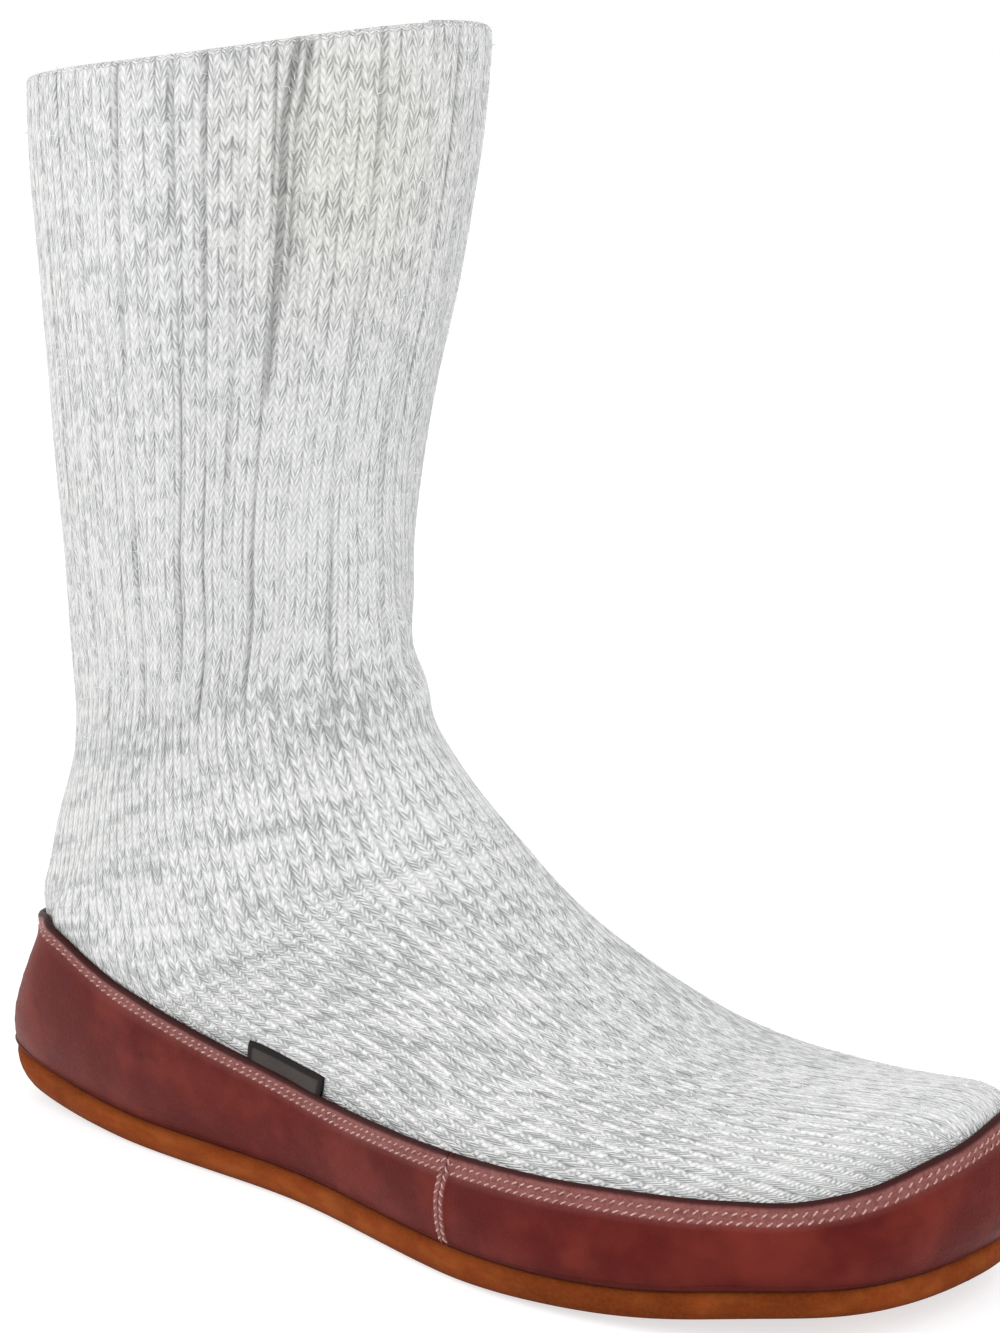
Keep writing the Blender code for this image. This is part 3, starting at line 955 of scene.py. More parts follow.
# darker (positive) and paler wool
TONES = (
    Tone(0.26, 0.114, 0.007, 0.945, 0.06), Tone(0.03, 0.225, 0.03, 0.86, 0.07),
    Tone(-0.05, 0.15, 0.04, 0.8, 0.12), Tone(-0.11, 0.165, 0.035, 0.945, 0.08),
    Tone(0.07, 0.1, 0.014, 0.8, 0.1),
)
WARM_TONE = Tone(0.55, 0.245, 0.03, 0.945, 0.075)

# Courses of the knitting seen from the side, collar to toe; they stay level down the leg and swing round
# the heel. Centimetres: X and Z of the front end and of the back end, half width and middle Y of the
# tube. Then its count of wales.
TURNS = (
    (13.4, 27.4, 1.6, 26.15, 5.1, 0, 108),
    (12, 20.7, 1.64, 18.6, 4.4, 0, 108),
    (10.95, 16.5, 1.54, 12.8, 3.85, 0, 108),
    (10.9, 14.4, 1.33, 9.45, 3.82, 0, 108),
    (11.1, 12.6, 0.6, 5.4, 3.84, -0.03, 105),
    (12.25, 10.25, -0.75, 2.95, 3.86, -0.08, 107),
    (13.6, 8.8, 0.2, 0.2, 3.84, -0.15, 101),
    (14.25, 8.2, 5.4, -0.1, 3.8, -0.2, 88),
    (16.1, 6.65, 12.05, -0.1, 4.1, -0.2, 86.5),
    (18.6, 5.25, 16.15, -0.1, 4.7, -0.12, 84),
    (21.1, 4.6, 20.3, 0, 4.75, -0.05, 81),
    (23.4, 4.45, 23.4, 0.1, 4.25, 0.27, 74),
    (25.3, 4.5, 25.6, 0.4, 3.5, 0.62, 64),
    (26.75, 4.45, 26.9, 1.1, 2.65, 0.95, 52),
    (27.48, 3.95, 27.5, 2, 1.6, 1.25, 34),
    (27.7, 3, 27.7, 2.8, 0.3, 1.35, 6),
)
LEG_WALES = 108
DEEP_RIBS = (-2, -5, -7, -8, -10)        # counted from the middle of the front to the outer side


@dataclass
class KnitFlow:
    """Numbers every point of the sock by wale and course."""

    course: float = 0.0021
    steps: int = 700
    lean: float = 0.8
    fine: Array = field(init=False)

    def __post_init__(self) -> None:
        """Draw smooth lines through the turns, and measure them along the front and the back."""
        table = np.array(TURNS)
        table[:, :6] *= CM
        table[:, [0, 2]] += TO_ROW_X
        slopes = np.gradient(table, axis=0)
        at = np.linspace(0.0, len(table) - 1.0, self.steps)
        k = np.minimum(at.astype(int), len(table) - 2)
        lines = hermite((at - k)[:, None], table[k], table[k + 1], slopes[k], slopes[k + 1])
        self.fine = np.column_stack([lines, run_lengths(lines[:, 0:2]), run_lengths(lines[:, 2:4])])

    def number(self, points: Array, inner: Array) -> tuple[Array, Array]:
        """Wale and course numbers of points on the sock.

        Args:
            points: points by row and column.
            inner: whether each column lies on the inner half of the sock.

        Returns:
            Wales, counted from the middle of the front, and courses, counted from the collar.
        """
        back = self.fine[:, 2:4]
        span = self.fine[:, 0:2] - back
        side = np.where(inner, 1.0, -1.0)
        last = self.steps - 1
        wales, courses = np.empty(points.shape[:2]), np.empty(points.shape[:2])
        for i, row in enumerate(points):
            spot = row[:, [0, 2]]
            plan = spot[:, None] - back
            ahead = span[:, 0] * plan[:, :, 1] - span[:, 1] * plan[:, :, 0]
            passed = np.where(ahead.max(axis=1) > 0.0, np.argmax(ahead > 0.0, axis=1), last)
            after = np.clip(passed, 1, last)
            low, high = (ahead[np.arange(len(row)), k] for k in (after - 1, after))
            at = after - 1 + np.clip(-low / np.where(high == low, 1.0, high - low), 0.0, 1.0)
            values = read(at, np.arange(self.steps), self.fine)
            half, centre, count, front_run, back_run = values[:, 4:].T
            reach = values[:, 0:2] - values[:, 2:4]
            size = (reach**2).sum(axis=1)
            share = 2.0 * ((spot - values[:, 2:4]) * reach).sum(axis=1) / size - 1.0
            forward = np.clip(share, -1.4, 1.4)
            angle = np.arctan2((row[:, 1] - centre) / half * side, forward)
            angle = np.where(angle < -0.5 * math.pi, angle + 2.0 * math.pi, angle)
            depth = 0.5 * np.sqrt(size)
            squash = (depth - half) / (2.0 * (depth + half))
            wales[i] = count * side * (angle - squash * np.sin(2.0 * angle)) / (2.0 * math.pi)
            behind = np.clip(0.5 - 0.5 * forward, 0.0, 1.0)
            courses[i] = 0.5 * (front_run + back_run) + self.lean * (behind - 0.5) * (back_run - front_run)
        return wales, courses / self.course


@dataclass
class KnitSock:
    """The knitted upper: one closed shell, ribbed down the leg and plain on the foot."""

    form: FootForm
    sole: SoleLine
    flow: KnitFlow
    wall: float = 0.0026
    ribs: int = 43
    half_turn: int = 240
    outer_rows: int = 158
    rim_rows: int = 7
    inner_rows: int = 24
    rim_course: float = 0.6
    below_collar: float = 0.07
    bulge: float = 0.001
    bulge_at: float = 0.0065
    bulge_reach: float = 0.005
    pinch: float = 0.0002
    pinch_reach: float = 0.0018
    foot_height: float = 0.1
    swelling: float = 0.0005
    collar_draw: float = 0.0003
    collar_reach: float = 0.003
    rib_rise: float = 0.00035
    bare_from: float = 0.0012
    bare_over: float = 0.002
    label_span: tuple[float, float] = (0.098, 0.13)
    label_height: float = 0.0085
    rib_depth: float = 0.0011
    rib_end: float = 0.11
    side_dip: float = 0.0022
    sharp: float = 0.002
    seed: int = 7

    def places(self) -> Array:
        """Space the rows evenly along the side of the form.

        Returns:
            Row numbers from toe to collar.
        """
        last = self.form.collar - self.below_collar
        fine = np.concatenate([[0.0], np.geomspace(TOE_PLACE, 0.6, 24), np.linspace(0.62, last, 700)])
        run = run_lengths(np.array([self.form.section(place, np.array([0.75]))[0] for place in fine]))
        return np.interp(np.linspace(0.0, run[-1], self.outer_rows), run, fine)

    def groove(self, wales: Array, z: Array, shares: Array) -> tuple[Array, Array]:
        """How deep the ribbing's grooves are.

        Args:
            wales: wale numbers, by row and column.
            z: heights, by row and column.
            shares: place of each column round the section.

        Returns:
            The share of full depth at each point, and how ribbed the wall is there.
        """
        turn = (wales - 0.5) * self.ribs / LEG_WALES
        phase = turn + 0.06 * np.sin(z * 31.0 + turn * 1.7)
        nearest = np.rint(phase).astype(int)
        rng = np.random.default_rng(self.seed)
        strengths = rng.uniform(0.35, 1.0, self.ribs)
        strengths[-12:] = rng.uniform(0.3, 0.65, 12)
        strengths[list(DEEP_RIBS)] = 0.9
        fading = np.sin(z * 47.0 + nearest * 2.3) + 0.8 * np.sin(z * 113.0 + nearest * 4.1)
        strength = strengths[nearest % self.ribs] * (0.66 + 0.19 * fading)
        ribbed = smooth((z - self.rib_end + 0.03 * hill(shares - 0.5, 0.2)) / 0.01)
        return hill(phase - nearest, 0.09) * strength * ribbed, ribbed

    def folds(self, points: Array, shares: Array) -> tuple[Array, Array]:
        """Depth of the listed folds.

        Args:
            points: the form's points, by row and column.
            shares: place of each column round the section.

        Returns:
            Depth in metres at each point, and how deep a point lies in a sharp fold, 0 to 1.
        """
        girth = np.linalg.norm(np.roll(points, -1, axis=1) - points, axis=2).sum(axis=1)[:, None]
        depth, crease = np.zeros(points.shape[:2]), np.zeros(points.shape[:2])
        for fold in FOLDS:
            run, rise = (fold.share_to - fold.share_from) * girth, fold.height_to - fold.height_from
            up = points[:, :, 2] - fold.height_from
            for lap in (-1.0, 0.0, 1.0):
                across = (shares - fold.share_from - lap) * girth
                t = np.clip((across * run + up * rise) / (run**2 + rise**2), 0.0, 1.0)
                fade = 0.35 + 0.65 * np.sin(math.pi * (0.12 + 0.76 * t))
                dent = fold.depth * fade * hill(np.hypot(across - t * run, up - t * rise), fold.width)
                depth += dent
                if fold.width < self.sharp:
                    crease = np.maximum(crease, 1.2 * dent / self.rib_depth)
        return depth, np.minimum(crease, 1.0)

    def swell(self, points: Array) -> Array:
        """Gentle unevenness of a stuffed knit.

        Args:
            points: points by row and column.

        Returns:
            A number for each point, from about -1 to 1.
        """
        rough = np.array([[noise.noise(Vector(p) * 34.0) for p in row[::6]] for row in points])
        columns = points.shape[1]
        return np.stack([np.interp(np.arange(columns), np.arange(0, columns, 6), row, period=columns)
                         for row in rough])

    def whole(self, outer: Array, inner: Array, rim: Array | None = None) -> Array:
        """A value's rows over the outer face, the rim, the inner face and the point that closes it."""
        rim = np.repeat(outer[-1:], self.rim_rows, axis=0) if rim is None else rim
        return np.concatenate([outer, rim, inner, inner[-1:]])

    def build(self) -> Piece:
        """Model the sock.

        Returns:
            The shell, with its weave map and its relief, marl, tint, plain and cover values.
        """
        around, places = 2 * self.half_turn, self.places()
        shares = np.arange(around) / around
        points, normal = self.form.grid(places, shares)
        # the columns again, where the back line is met twice, once from each half, and the front twice
        split = np.append(np.insert(np.arange(around), self.half_turn, self.half_turn), 0)
        wales, courses = self.flow.number(points[:, split], np.arange(len(split)) <= self.half_turn)
        once = np.delete(np.arange(len(split)), [self.half_turn + 1, -1])
        x, y, z = np.moveaxis(points, 2, 0)
        groove, ribbed = self.groove(wales[:, once], z, shares)
        down = courses[:, once] * self.flow.course
        above = z - self.sole.wrap_top(x, y)
        puff = self.bulge * hill(above - self.bulge_at, self.bulge_reach)
        puff = (puff - self.pinch * hill(above, self.pinch_reach)) * (z < self.foot_height)
        fold, crease = self.folds(points, shares)
        out = (self.rib_rise * ribbed - self.rib_depth * groove + puff + self.swelling * self.swell(points)
               - fold - self.collar_draw * hill(down, self.collar_reach))
        out -= smooth((self.sole.edge(x) + 0.001 - z) / 0.002) * (self.sole.tuck(x, z) + 0.0007)
        out *= smooth(places / 0.8)[:, None]
        outer = points + normal * out[:, :, None]
        outer[:, :, 2] -= self.side_dip * hill(down, 0.035) * hill(shares - 0.84, 0.13)
        outer[:, :, 2] = np.maximum(outer[:, :, 2], self.sole.top(x) + 0.0004)

        angle = np.linspace(0.0, math.pi, self.rim_rows + 2)[1:-1, None, None]
        up = unit(points[-1] - points[-2])
        rim = outer[-1] + 0.5 * self.wall * (up * np.sin(angle) - normal[-1] * (1.0 - np.cos(angle)))
        choice = np.rint(np.linspace(len(places) - 1, 2, self.inner_rows)).astype(int)
        inner = (outer - normal * (self.wall + 0.55 * out)[:, :, None])[choice]
        inner[:, :, 2] = np.maximum(inner[:, :, 2], self.sole.top(inner[:, :, 0]) + 0.0016)
        shell = self.whole(outer, inner, rim)
        shell[-1] = inner[-1].mean(axis=0)

        # the pleat's creases get the same painted shade as the ribbing's grooves
        groove = np.maximum(groove, crease)
        shallow = np.repeat(0.5 * groove[-1:], self.rim_rows, axis=0)
        relief = 1.0 - self.whole(groove, np.zeros(inner.shape[:2]), shallow)
        flat = (1.0 - ribbed) * (1.0 - 0.8 * smooth((x - 0.01) / 0.06))
        values = [relief, self.marl(shell, shares), WARM_TONE.at(shell[:, :, 2], shares),
                  self.whole(flat, flat[choice]), self.cover(shell)]
        over = courses[-1] - self.rim_course * np.arange(1, self.rim_rows + 1)[:, None]
        inside = -self.rim_course * (self.rim_rows + 1) - courses[choice]
        numbers = [self.whole(wales, wales[choice]), self.whole(courses, inside, over)]
        table = np.dstack([shell[:, split], *numbers, *(value[:, split] for value in values)])
        return mapped_grid("knit_sock", table, ("relief", "marl", "tint", "plain", "cover"), woven=True)

    def cover(self, points: Array) -> Array:
        """How freely loose fibres may stand, which is not at all under the wraps or the label.

        Args:
            points: points of the shell, by row and column.

        Returns:
            A share for each point.
        """
        x, y, z = np.moveaxis(points, 2, 0)
        above = z - self.sole.wrap_top(x, y)
        start, end = self.label_span
        label = (along(x) > start) & (along(x) < end) & (y < 0.0) & (above < self.label_height)
        return np.where(label, 0.0, smooth((above - self.bare_from) / self.bare_over))

    def marl(self, points: Array, shares: Array) -> Array:
        """Added share of dark ply.

        Args:
            points: points of the shell, by row and column.
            shares: place of each column round the section.

        Returns:
            A share for each point.
        """
        x, _, z = np.moveaxis(points, 2, 0)
        marl = sum(tone.at(z, shares) for tone in TONES)
        return marl + 0.07 * smooth((0.085 - z) / 0.02) - 0.1 * smooth((x - 0.085) / 0.03)


@dataclass
class KnitFuzz:
    """Loose wool fibres standing off the knit."""

    density: float = 150000.0
    length: float = 0.0019
    thickness: float = 0.00007
    bend: float = 0.0009
    lean: float = 1.25
    sizes: tuple[float, float] = (0.35, 1.15)
    seed: int = 11

    def fibre(self) -> Piece:
        """One bent fibre, a narrow strip standing along +Z.

        Returns:
            The strip, to be copied and then removed.
        """
        bm = bmesh.new()
        bmesh.ops.create_grid(bm, x_segments=1, y_segments=3, size=1.0)
        for vertex in bm.verts:
            side, t = vertex.co.x, 0.5 * (vertex.co.y + 1.0)
            bend = self.bend * t * t
            vertex.co = (side * self.thickness * (1.0 - 0.6 * t) + bend, 0.5 * bend, self.length * t)
        return finish(bm, "fibre")

    def spread(self, fibre: Piece) -> bpy.types.NodeTree:
        """Nodes that stand copies of a fibre all over a mesh.

        Args:
            fibre: the fibre.

        Returns:
            The node group.
        """
        group = bpy.data.node_groups.new("fuzz", "GeometryNodeTree")
        for way in ("INPUT", "OUTPUT"):
            group.interface.new_socket("Geometry", in_out=way, socket_type="NodeSocketGeometry")
        b = Wiring(group)
        cover = b.term("GeometryNodeInputNamedAttribute", "cover")
        feeds = {"Mesh": b.term("NodeGroupInput"), "Density": cover * self.density, "Seed": self.seed}
        spread = b.node("GeometryNodeDistributePointsOnFaces", feeds)
        points, upright = (Term(b, spread.outputs[key]) for key in ("Points", "Rotation"))
        range_of = {"Min": (-self.lean, -self.lean, 0.0), "Max": (self.lean, self.lean, 6.28)}
        lean = Term(b, b.node("FunctionNodeRandomValue", range_of, data_type="FLOAT_VECTOR").outputs[0])
        tilt = b.term("FunctionNodeEulerToRotation", lean)
        turn = b.term("FunctionNodeRotateRotation", upright, tilt, rotation_space="LOCAL")
        size = b.node("FunctionNodeRandomValue", dict(zip(("Min", "Max"), self.sizes))).outputs[1]
        strip = b.node("GeometryNodeObjectInfo", {"Object": fibre}).outputs["Geometry"]
        feeds = {"Points": points, "Instance": Term(b, strip), "Rotation": turn, "Scale": Term(b, size)}
        stand = b.node("GeometryNodeInstanceOnPoints", feeds).outputs["Instances"]
        b.node("NodeGroupOutput", {0: b.term("GeometryNodeRealizeInstances", Term(b, stand))})
        return group

    def build(self, sock: Piece) -> Piece:
        """Scatter fibres over the sock.

        Args:
            sock: the knitted shell.

        Returns:
            One mesh of all fibres.
        """
        fibre = self.fibre()
        group = self.spread(fibre)
        carrier = put("knit_fuzz", sock.data.copy())
        carrier.modifiers.new("fuzz", "NODES").node_group = group
        graph = bpy.context.evaluated_depsgraph_get()
        mesh = bpy.data.meshes.new_from_object(carrier.evaluated_get(graph))
        carrier.modifiers.clear()
        carrier.data = mesh
        carrier.data.materials.clear()
        bpy.data.objects.remove(fibre, do_unlink=True)
        bpy.data.node_groups.remove(group)
        return carrier


# ---------------------------------------------------------------- the leather wraps
class WrapPoint(NamedTuple):
    """One point of a wrap's cross-section.

    Its height is measured down from the top edge by drop, and by a share of what is left of the wall.
    """

    drop: float
    share: float
    stand_off: float


# round the section: up the outside from the sole, over the top edge and down the inside, metres
WRAP_SECTION = tuple(WrapPoint(*row) for row in (
    (0.0046, 1, 0.0013), (0.0046, 0.985, 0.00185), (0.0046, 0.95, 0.00205), (0.0046, 0.88, 0.0021),
    (0.0046, 0.76, 0.00212), (0.0046, 0.62, 0.00214), (0.0046, 0.48, 0.00214), (0.0046, 0.34, 0.0021),
    (0.0046, 0.2, 0.00205), (0.0046, 0.08, 0.00195), (0.0046, 0, 0.0018), (0.004, 0, 0.00166),
    (0.0033, 0, 0.00158), (0.0026, 0, 0.00164), (0.0021, 0, 0.0018), (0.0015, 0, 0.002),
    (0.0009, 0, 0.002), (0.0004, 0, 0.00178), (0.0001, 0, 0.0014), (0, 0, 0.00095),
    (0.0002, 0, 0.0005), (0.0008, 0, 0.00025), (0.0046, 0, 0.00025), (0.0046, 0.5, 0.00025),
    (0.0046, 1, 0.00025),
))
END_STEPS = (0.0, 0.0003, 0.0007, 0.001, 0.0013, 0.0017, 0.0024)


@dataclass
class WrapWall:
    """The band of the form that the wraps cover, found by rays sent out from inside it."""

    surface: FormSurface
    sole: SoleLine
    count: int = 260
    inside: float = 0.022
    loop: Array = field(init=False)
    run: Array = field(init=False)

    def __post_init__(self) -> None:
        """Lay the plan loop that the band follows, each point with its outward direction."""
        closed = ring(self.surface.outline(0.004, self.count))
        run = run_lengths(closed)
        loop = read(np.linspace(0.0, run[-1], 4 * self.count + 1), run, closed)[:-1]
        self.loop = ring(np.column_stack([loop, plan_normals(loop, 60)]))
        self.run = run_lengths(self.loop[:, :2])

    def plan(self, run: float) -> tuple[Array, Array]:
        """Plan point and outward direction at a length round the loop."""
        found = read(run % self.run[-1], self.run, self.loop)
        return found[:2], unit(found[2:])

    def touch(self, run: float, height: float) -> tuple[Vector, Vector]:
        """Point and outward normal of the form.

        Args:
            run: length round the loop, metres from the heel by the outer side.
            height: height above the floor.

        Returns:
            The point and the normal.
        """
        point, way = self.plan(run)
        aim = Vector((*way, 0.0))
        hit, normal, _, _ = self.surface.tree.ray_cast(Vector((*(point - way * self.inside), height)), aim)
        if hit is None:
            return Vector((*point, height)), aim
        return hit, normal if normal.dot(aim) > 0.0 else -normal

    def top(self, run: float) -> float:
        """Height of the wraps' top edge on the wall.

        Args:
            run: length round the loop.

        Returns:
            Its height above the floor.
        """
        height = float(self.sole.wrap_top(*self.plan(run)[0]))
        for _ in range(5):
            hit, _ = self.touch(run, height)
            height = 0.5 * (height + float(self.sole.wrap_top(hit.x, hit.y)))
        return height

    def foot(self, run: float) -> float:
        """Height of the wraps' lower edge at a length round the loop."""
        hit, _ = self.touch(run, float(self.sole.edge(self.plan(run)[0][0])) + 0.001)
        return float(self.sole.edge(hit.x)) + 0.0004

    def run_at(self, spot: float, outer: bool) -> float:
        """Length round the loop at a place along the foot.

        Args:
            spot: distance along the foot.
            outer: whether it is on the outer side.

        Returns:
            The length.
        """
        toe = int(np.argmax(self.loop[:, 0]))
        side = np.arange(0, toe) if outer else np.arange(toe, len(self.loop) - 1)
        return float(self.run[side[np.argmin(np.abs(along(self.loop[side, 0]) - spot))]])


@dataclass
class LeatherWraps:
    """The heel and toe wraps, which meet at a seam on each side."""

    wall: WrapWall
    seam_at: float = 0.1745
    step: float = 0.0014
    gap: float = 0.00012
    outer_face: float = 0.0008
    belly: float = 0.0003
    lip_rise: float = 0.00035
    end_draw: float = 0.0003
    end_reach: float = 0.0003
    rough: float = 0.00022
    fine_rough: float = 0.00007
    top_edge: float = 0.0008
    cut: float = 0.0006
    foot_edge: float = 0.0013
    band: float = 0.004
    band_fade: float = 0.0009

    def seam(self, outer: bool) -> float:
        """Length round the loop of a side seam."""
        return self.wall.run_at(self.seam_at, outer)

    def section(self, run: float, from_end: float) -> list[tuple[float, ...]]:
        """One cross-section of a wrap.

        Args:
            run: length round the loop.
            from_end: distance from the wrap's nearer end.

        Returns:
            Its corners, each with its edge and wear values.
        """
        top, foot = self.wall.top(run), self.wall.foot(run)
        lip = 1.0 - smooth((from_end - 0.001) / self.cut)
        corners = []
        for spot in WRAP_SECTION:
            height = max(top - spot.drop - spot.share * (top - spot.drop - foot), foot)
            down, rise = top - height, height - foot
            hit, normal = self.wall.touch(run, height)
            off = spot.stand_off
            if off > self.outer_face:
                off += noise.noise(hit * 85.0) * self.rough + noise.noise(hit * 240.0) * self.fine_rough
                off += self.belly * hill(hit.x + 0.14, 0.045) * math.sin(math.pi * rise / (top - foot))
                off += self.lip_rise * lip - self.end_draw * hill(from_end, self.end_reach)
            # dark along the top, the cut edge's colour with painted shade of the gap to the knit; painted
            # shade along the foot at the seam to the sole
            edge = max(1.0 - smooth((down - self.top_edge) / self.cut), 0.75 * hill(rise, self.foot_edge))
            band = 0.85 * (1.0 - smooth((down - self.band) / self.band_fade))
            # lighter band below the top edge and at the ends, and a painted highlight on the heel
            wear = max(band, lip, 0.18 * hill(hit.x + 0.138, 0.038))
            corners.append((*(hit + normal * float(off)), float(edge), float(wear)))
        return corners

    def strip(self, name: str, start: float, end: float) -> Piece:
        """Model one wrap as a closed band.

        Args:
            name: name of the piece.
            start: length round the loop where it starts.
            end: length where it ends.

        Returns:
            The piece.
        """
        length = end - start
        middle = np.linspace(END_STEPS[-1], length - END_STEPS[-1], int(length / self.step))
        places = np.concatenate([END_STEPS[:-1], middle, length - np.array(END_STEPS[-2::-1])])
        rows = np.array([self.section(start + place, min(place, length - place)) for place in places])
        return mapped_grid(name, ring(capped(rows), 1), ("edge", "wear"))

    def build(self) -> list[Piece]:
        """Model the wraps.

        Returns:
            The heel wrap and the toe wrap.
        """
        outer, inner = self.seam(True), self.seam(False)
        return [self.strip("heel_wrap_leather", inner + self.gap - self.wall.run[-1], outer - self.gap),
                self.strip("toe_wrap_leather", outer + self.gap, inner - self.gap)]


@dataclass
class Stitching:
    """Thread laid in slanted stitches over the leather."""

    wraps: LeatherWraps
    pitch: float = 0.00215
    seam_pitch: float = 0.0016
    length: float = 0.0019
    thick: float = 0.00048
    dive: float = 0.00045
    slant: float = 0.55
    seam_slant: float = 0.75
    lift: float = 0.0018
    seam_lift: float = 0.00238
    probe: float = 0.001
    rows: tuple[float, float] = (0.0024, 0.004)
    seam_rows: tuple[float, float] = (-0.0009, 0.0009)
    seed: int = 23

    def stitch(self) -> Piece:
        """One stitch lying along X: a thread that dives into the leather at both ends.

        Returns:
            The stitch, to be copied and then removed.
        """
        bm = bmesh.new()
        bmesh.ops.create_uvsphere(bm, u_segments=8, v_segments=6, radius=0.5,
                                  matrix=Matrix.Rotation(math.pi / 2.0, 4, "Y"))
        # Blender makes the sphere's parts in an order that changes from run to run.
        bm.verts.sort(key=lambda vertex: vertex.co.dot(SORT_ALONG))
        bm.faces.sort(key=lambda face: face.calc_center_median().dot(SORT_ALONG))
        for vertex in bm.verts:
            share = abs(2.0 * vertex.co.x)
            reach = 0.5 * math.copysign(share**0.8, vertex.co.x)
            dip = self.dive * share**2.5
            vertex.co = (reach * self.length, vertex.co.y * self.thick, vertex.co.z * self.thick * 0.8 - dip)
        return finish(bm, "stitch")

    def lay(self, at: Vector, normal: Vector, ahead: Vector, turn: float) -> Matrix:
        """Place one stitch.

        Args:
            at: the stitch's middle.
            normal: the leather's outward direction.
            ahead: the row's direction.
            turn: how far the stitch is turned from the row.

        Returns:
            Its matrix.
        """
        ahead = (ahead - normal * ahead.dot(normal)).normalized()
        way = ahead * math.cos(turn) + normal.cross(ahead) * math.sin(turn)
        return Matrix.Translation(at) @ Matrix((way, normal.cross(way), normal)).transposed().to_4x4()

    def build(self) -> Piece:
        """Sew both rows along the top edge and both rows of each side seam.

        Returns:
            One mesh of all stitches.
        """
        wall = self.wraps.wall
        rng = np.random.default_rng(self.seed)
        places = []
        seams = [self.wraps.seam(outer) for outer in (True, False)]
        for row, drop in enumerate(self.rows):
            for i in range(int(wall.run[-1] / self.pitch)):
                run = (i + 0.5 * row) * self.pitch
                if min(abs(run - seam) for seam in seams) < 0.0009:
                    continue
                hit, normal = wall.touch(run, wall.top(run) - drop)
                ahead, _ = wall.touch(run + self.probe, wall.top(run + self.probe) - drop)
                at = hit + normal * (self.lift + rng.uniform(-0.00004, 0.00004))
                places.append(self.lay(at, normal, ahead - hit, self.slant + rng.uniform(-0.1, 0.1)))
        for seam in seams:
            top, foot = wall.top(seam), wall.foot(seam)
            for aside in self.seam_rows:
                for k in range(int((top - foot - 0.0016) / self.seam_pitch)):
                    height = foot + 0.0012 + (k + 0.5) * self.seam_pitch
                    hit, normal = wall.touch(seam + aside, height)
                    above, _ = wall.touch(seam + aside, height + self.probe)
                    turn = math.copysign(self.seam_slant, aside) + rng.uniform(-0.1, 0.1)
                    places.append(self.lay(hit + normal * self.seam_lift, normal, above - hit, turn))
        return scatter("wrap_stitching", self.stitch(), places)


# ---------------------------------------------------------------- the sole, the footbed and the label
@dataclass
class SeamCord:
    """The thin cord of leather pressed between the wraps and the sole, darkened as painted shade of the seam.
    """

    wall: WrapWall
    radius: float = 0.00085
    stand_off: float = 0.00165
    sides: int = 8
    steps: int = 420

    def build(self) -> Piece:
        """Model the cord round the whole shoe.

        Returns:
            The closed cord, with its edge and wear values.
        """
        rows = []
        for i in range(self.steps):
            run = self.wall.run[-1] * i / self.steps
            hit, normal = self.wall.touch(run, self.wall.foot(run) + 0.0004)
            flat = Vector((normal.x, normal.y, 0.0)).normalized()
            row = []
            for k in range(self.sides + 1):
                angle = 2.0 * math.pi * k / self.sides
                point = hit + flat * (self.stand_off + self.radius * math.cos(angle))
                # half the dark edge colour: painted shade along the seam
                row.append((point.x, point.y, point.z + self.radius * math.sin(angle), 0.5, 0.0))
            rows.append(row)
        return mapped_grid("seam_cord", ring(np.array(rows)), ("edge", "wear"))


class EdgeLevel(NamedTuple):
    """One level of a sole's edge: inset from its outline and share of its thickness."""

    inset: float
    share: float


SOLE_EDGE = tuple(EdgeLevel(*row) for row in (
    (0.004, 0), (0.0028, 0.005), (0.0018, 0.03), (0.0011, 0.075), (0.0006, 0.14), (0.0003, 0.23),
    (0.0001, 0.36), (0, 0.5), (0, 0.64), (0.0001, 0.78), (0.0004, 0.9), (0.001, 0.97), (0.0018, 1),
))
BED_EDGE = tuple(EdgeLevel(*row) for row in (
    (0.0015, 0), (0.0002, 0.08), (0, 0.3), (0, 0.6), (0.0004, 0.82), (0.0012, 0.94), (0.0024, 1),
))
INSIDE = 2.0                # a slab's share on the upper face, inside its edge


@dataclass
class Slab:
    """A flat body inside a plan loop, its faces drawn in to the middle line ring by ring."""

    loop: Array
    edge: tuple[EdgeLevel, ...]
    height: Callable[[Array, Array, float], Array]
    roll: Array | float = 0.0
    fills: int = 9

    def fill(self, level: int) -> list[Array]:
        """Draw a level of the edge in towards its middle line.

        Args:
            level: index of the level.

        Returns:
            Rings from that line outwards.
        """
        outside = self.loop - plan_normals(self.loop, 2) * self.inset(self.edge[level])
        spine = 0.5 * (outside + np.roll(outside[::-1], 1, axis=0))
        return [spine + (outside - spine) * math.sqrt(k / self.fills) for k in range(self.fills)]

    def inset(self, level: EdgeLevel) -> Array:
        """How far a level lies inside the loop."""
        return level.inset + self.roll * drawn_in(level.share)

    def build(self, name: str, tread: bool) -> Piece:
        """Model the body.

        Args:
            name: the piece's name.
            tread: whether its lower face is worn by walking.

        Returns:
            The closed body, with a weave map in metres and its edge and wear values.
        """
        normal = plan_normals(self.loop, 2)
        rings = [(plan, 0.0, 0.0, float(tread)) for plan in self.fill(0)]
        for level in self.edge:
            # darker at the lower and upper edges: painted shade on the suede, the hem colour on the cloth
            edge = max(hill(level.share - 0.02, 0.24), 0.6 * hill(level.share - 1.0, 0.16))
            rings.append((self.loop - normal * self.inset(level), level.share, edge, 0.0))
        rings += [(plan, INSIDE, 0.0, 0.0) for plan in reversed(self.fill(-1))]
        rows = []
        for plan, share, edge, wear in rings:
            x, y = plan.T
            # darker towards the toe on the suede
            wear = np.maximum(wear, 0.6 * smooth(x / 0.11))
            rows.append(np.stack([x, y, self.height(x, y, share), x, y, np.full(len(x), edge), wear], 1))
        return mapped_grid(name, ring(np.array(rows), 1), ("edge", "wear"), woven=True)


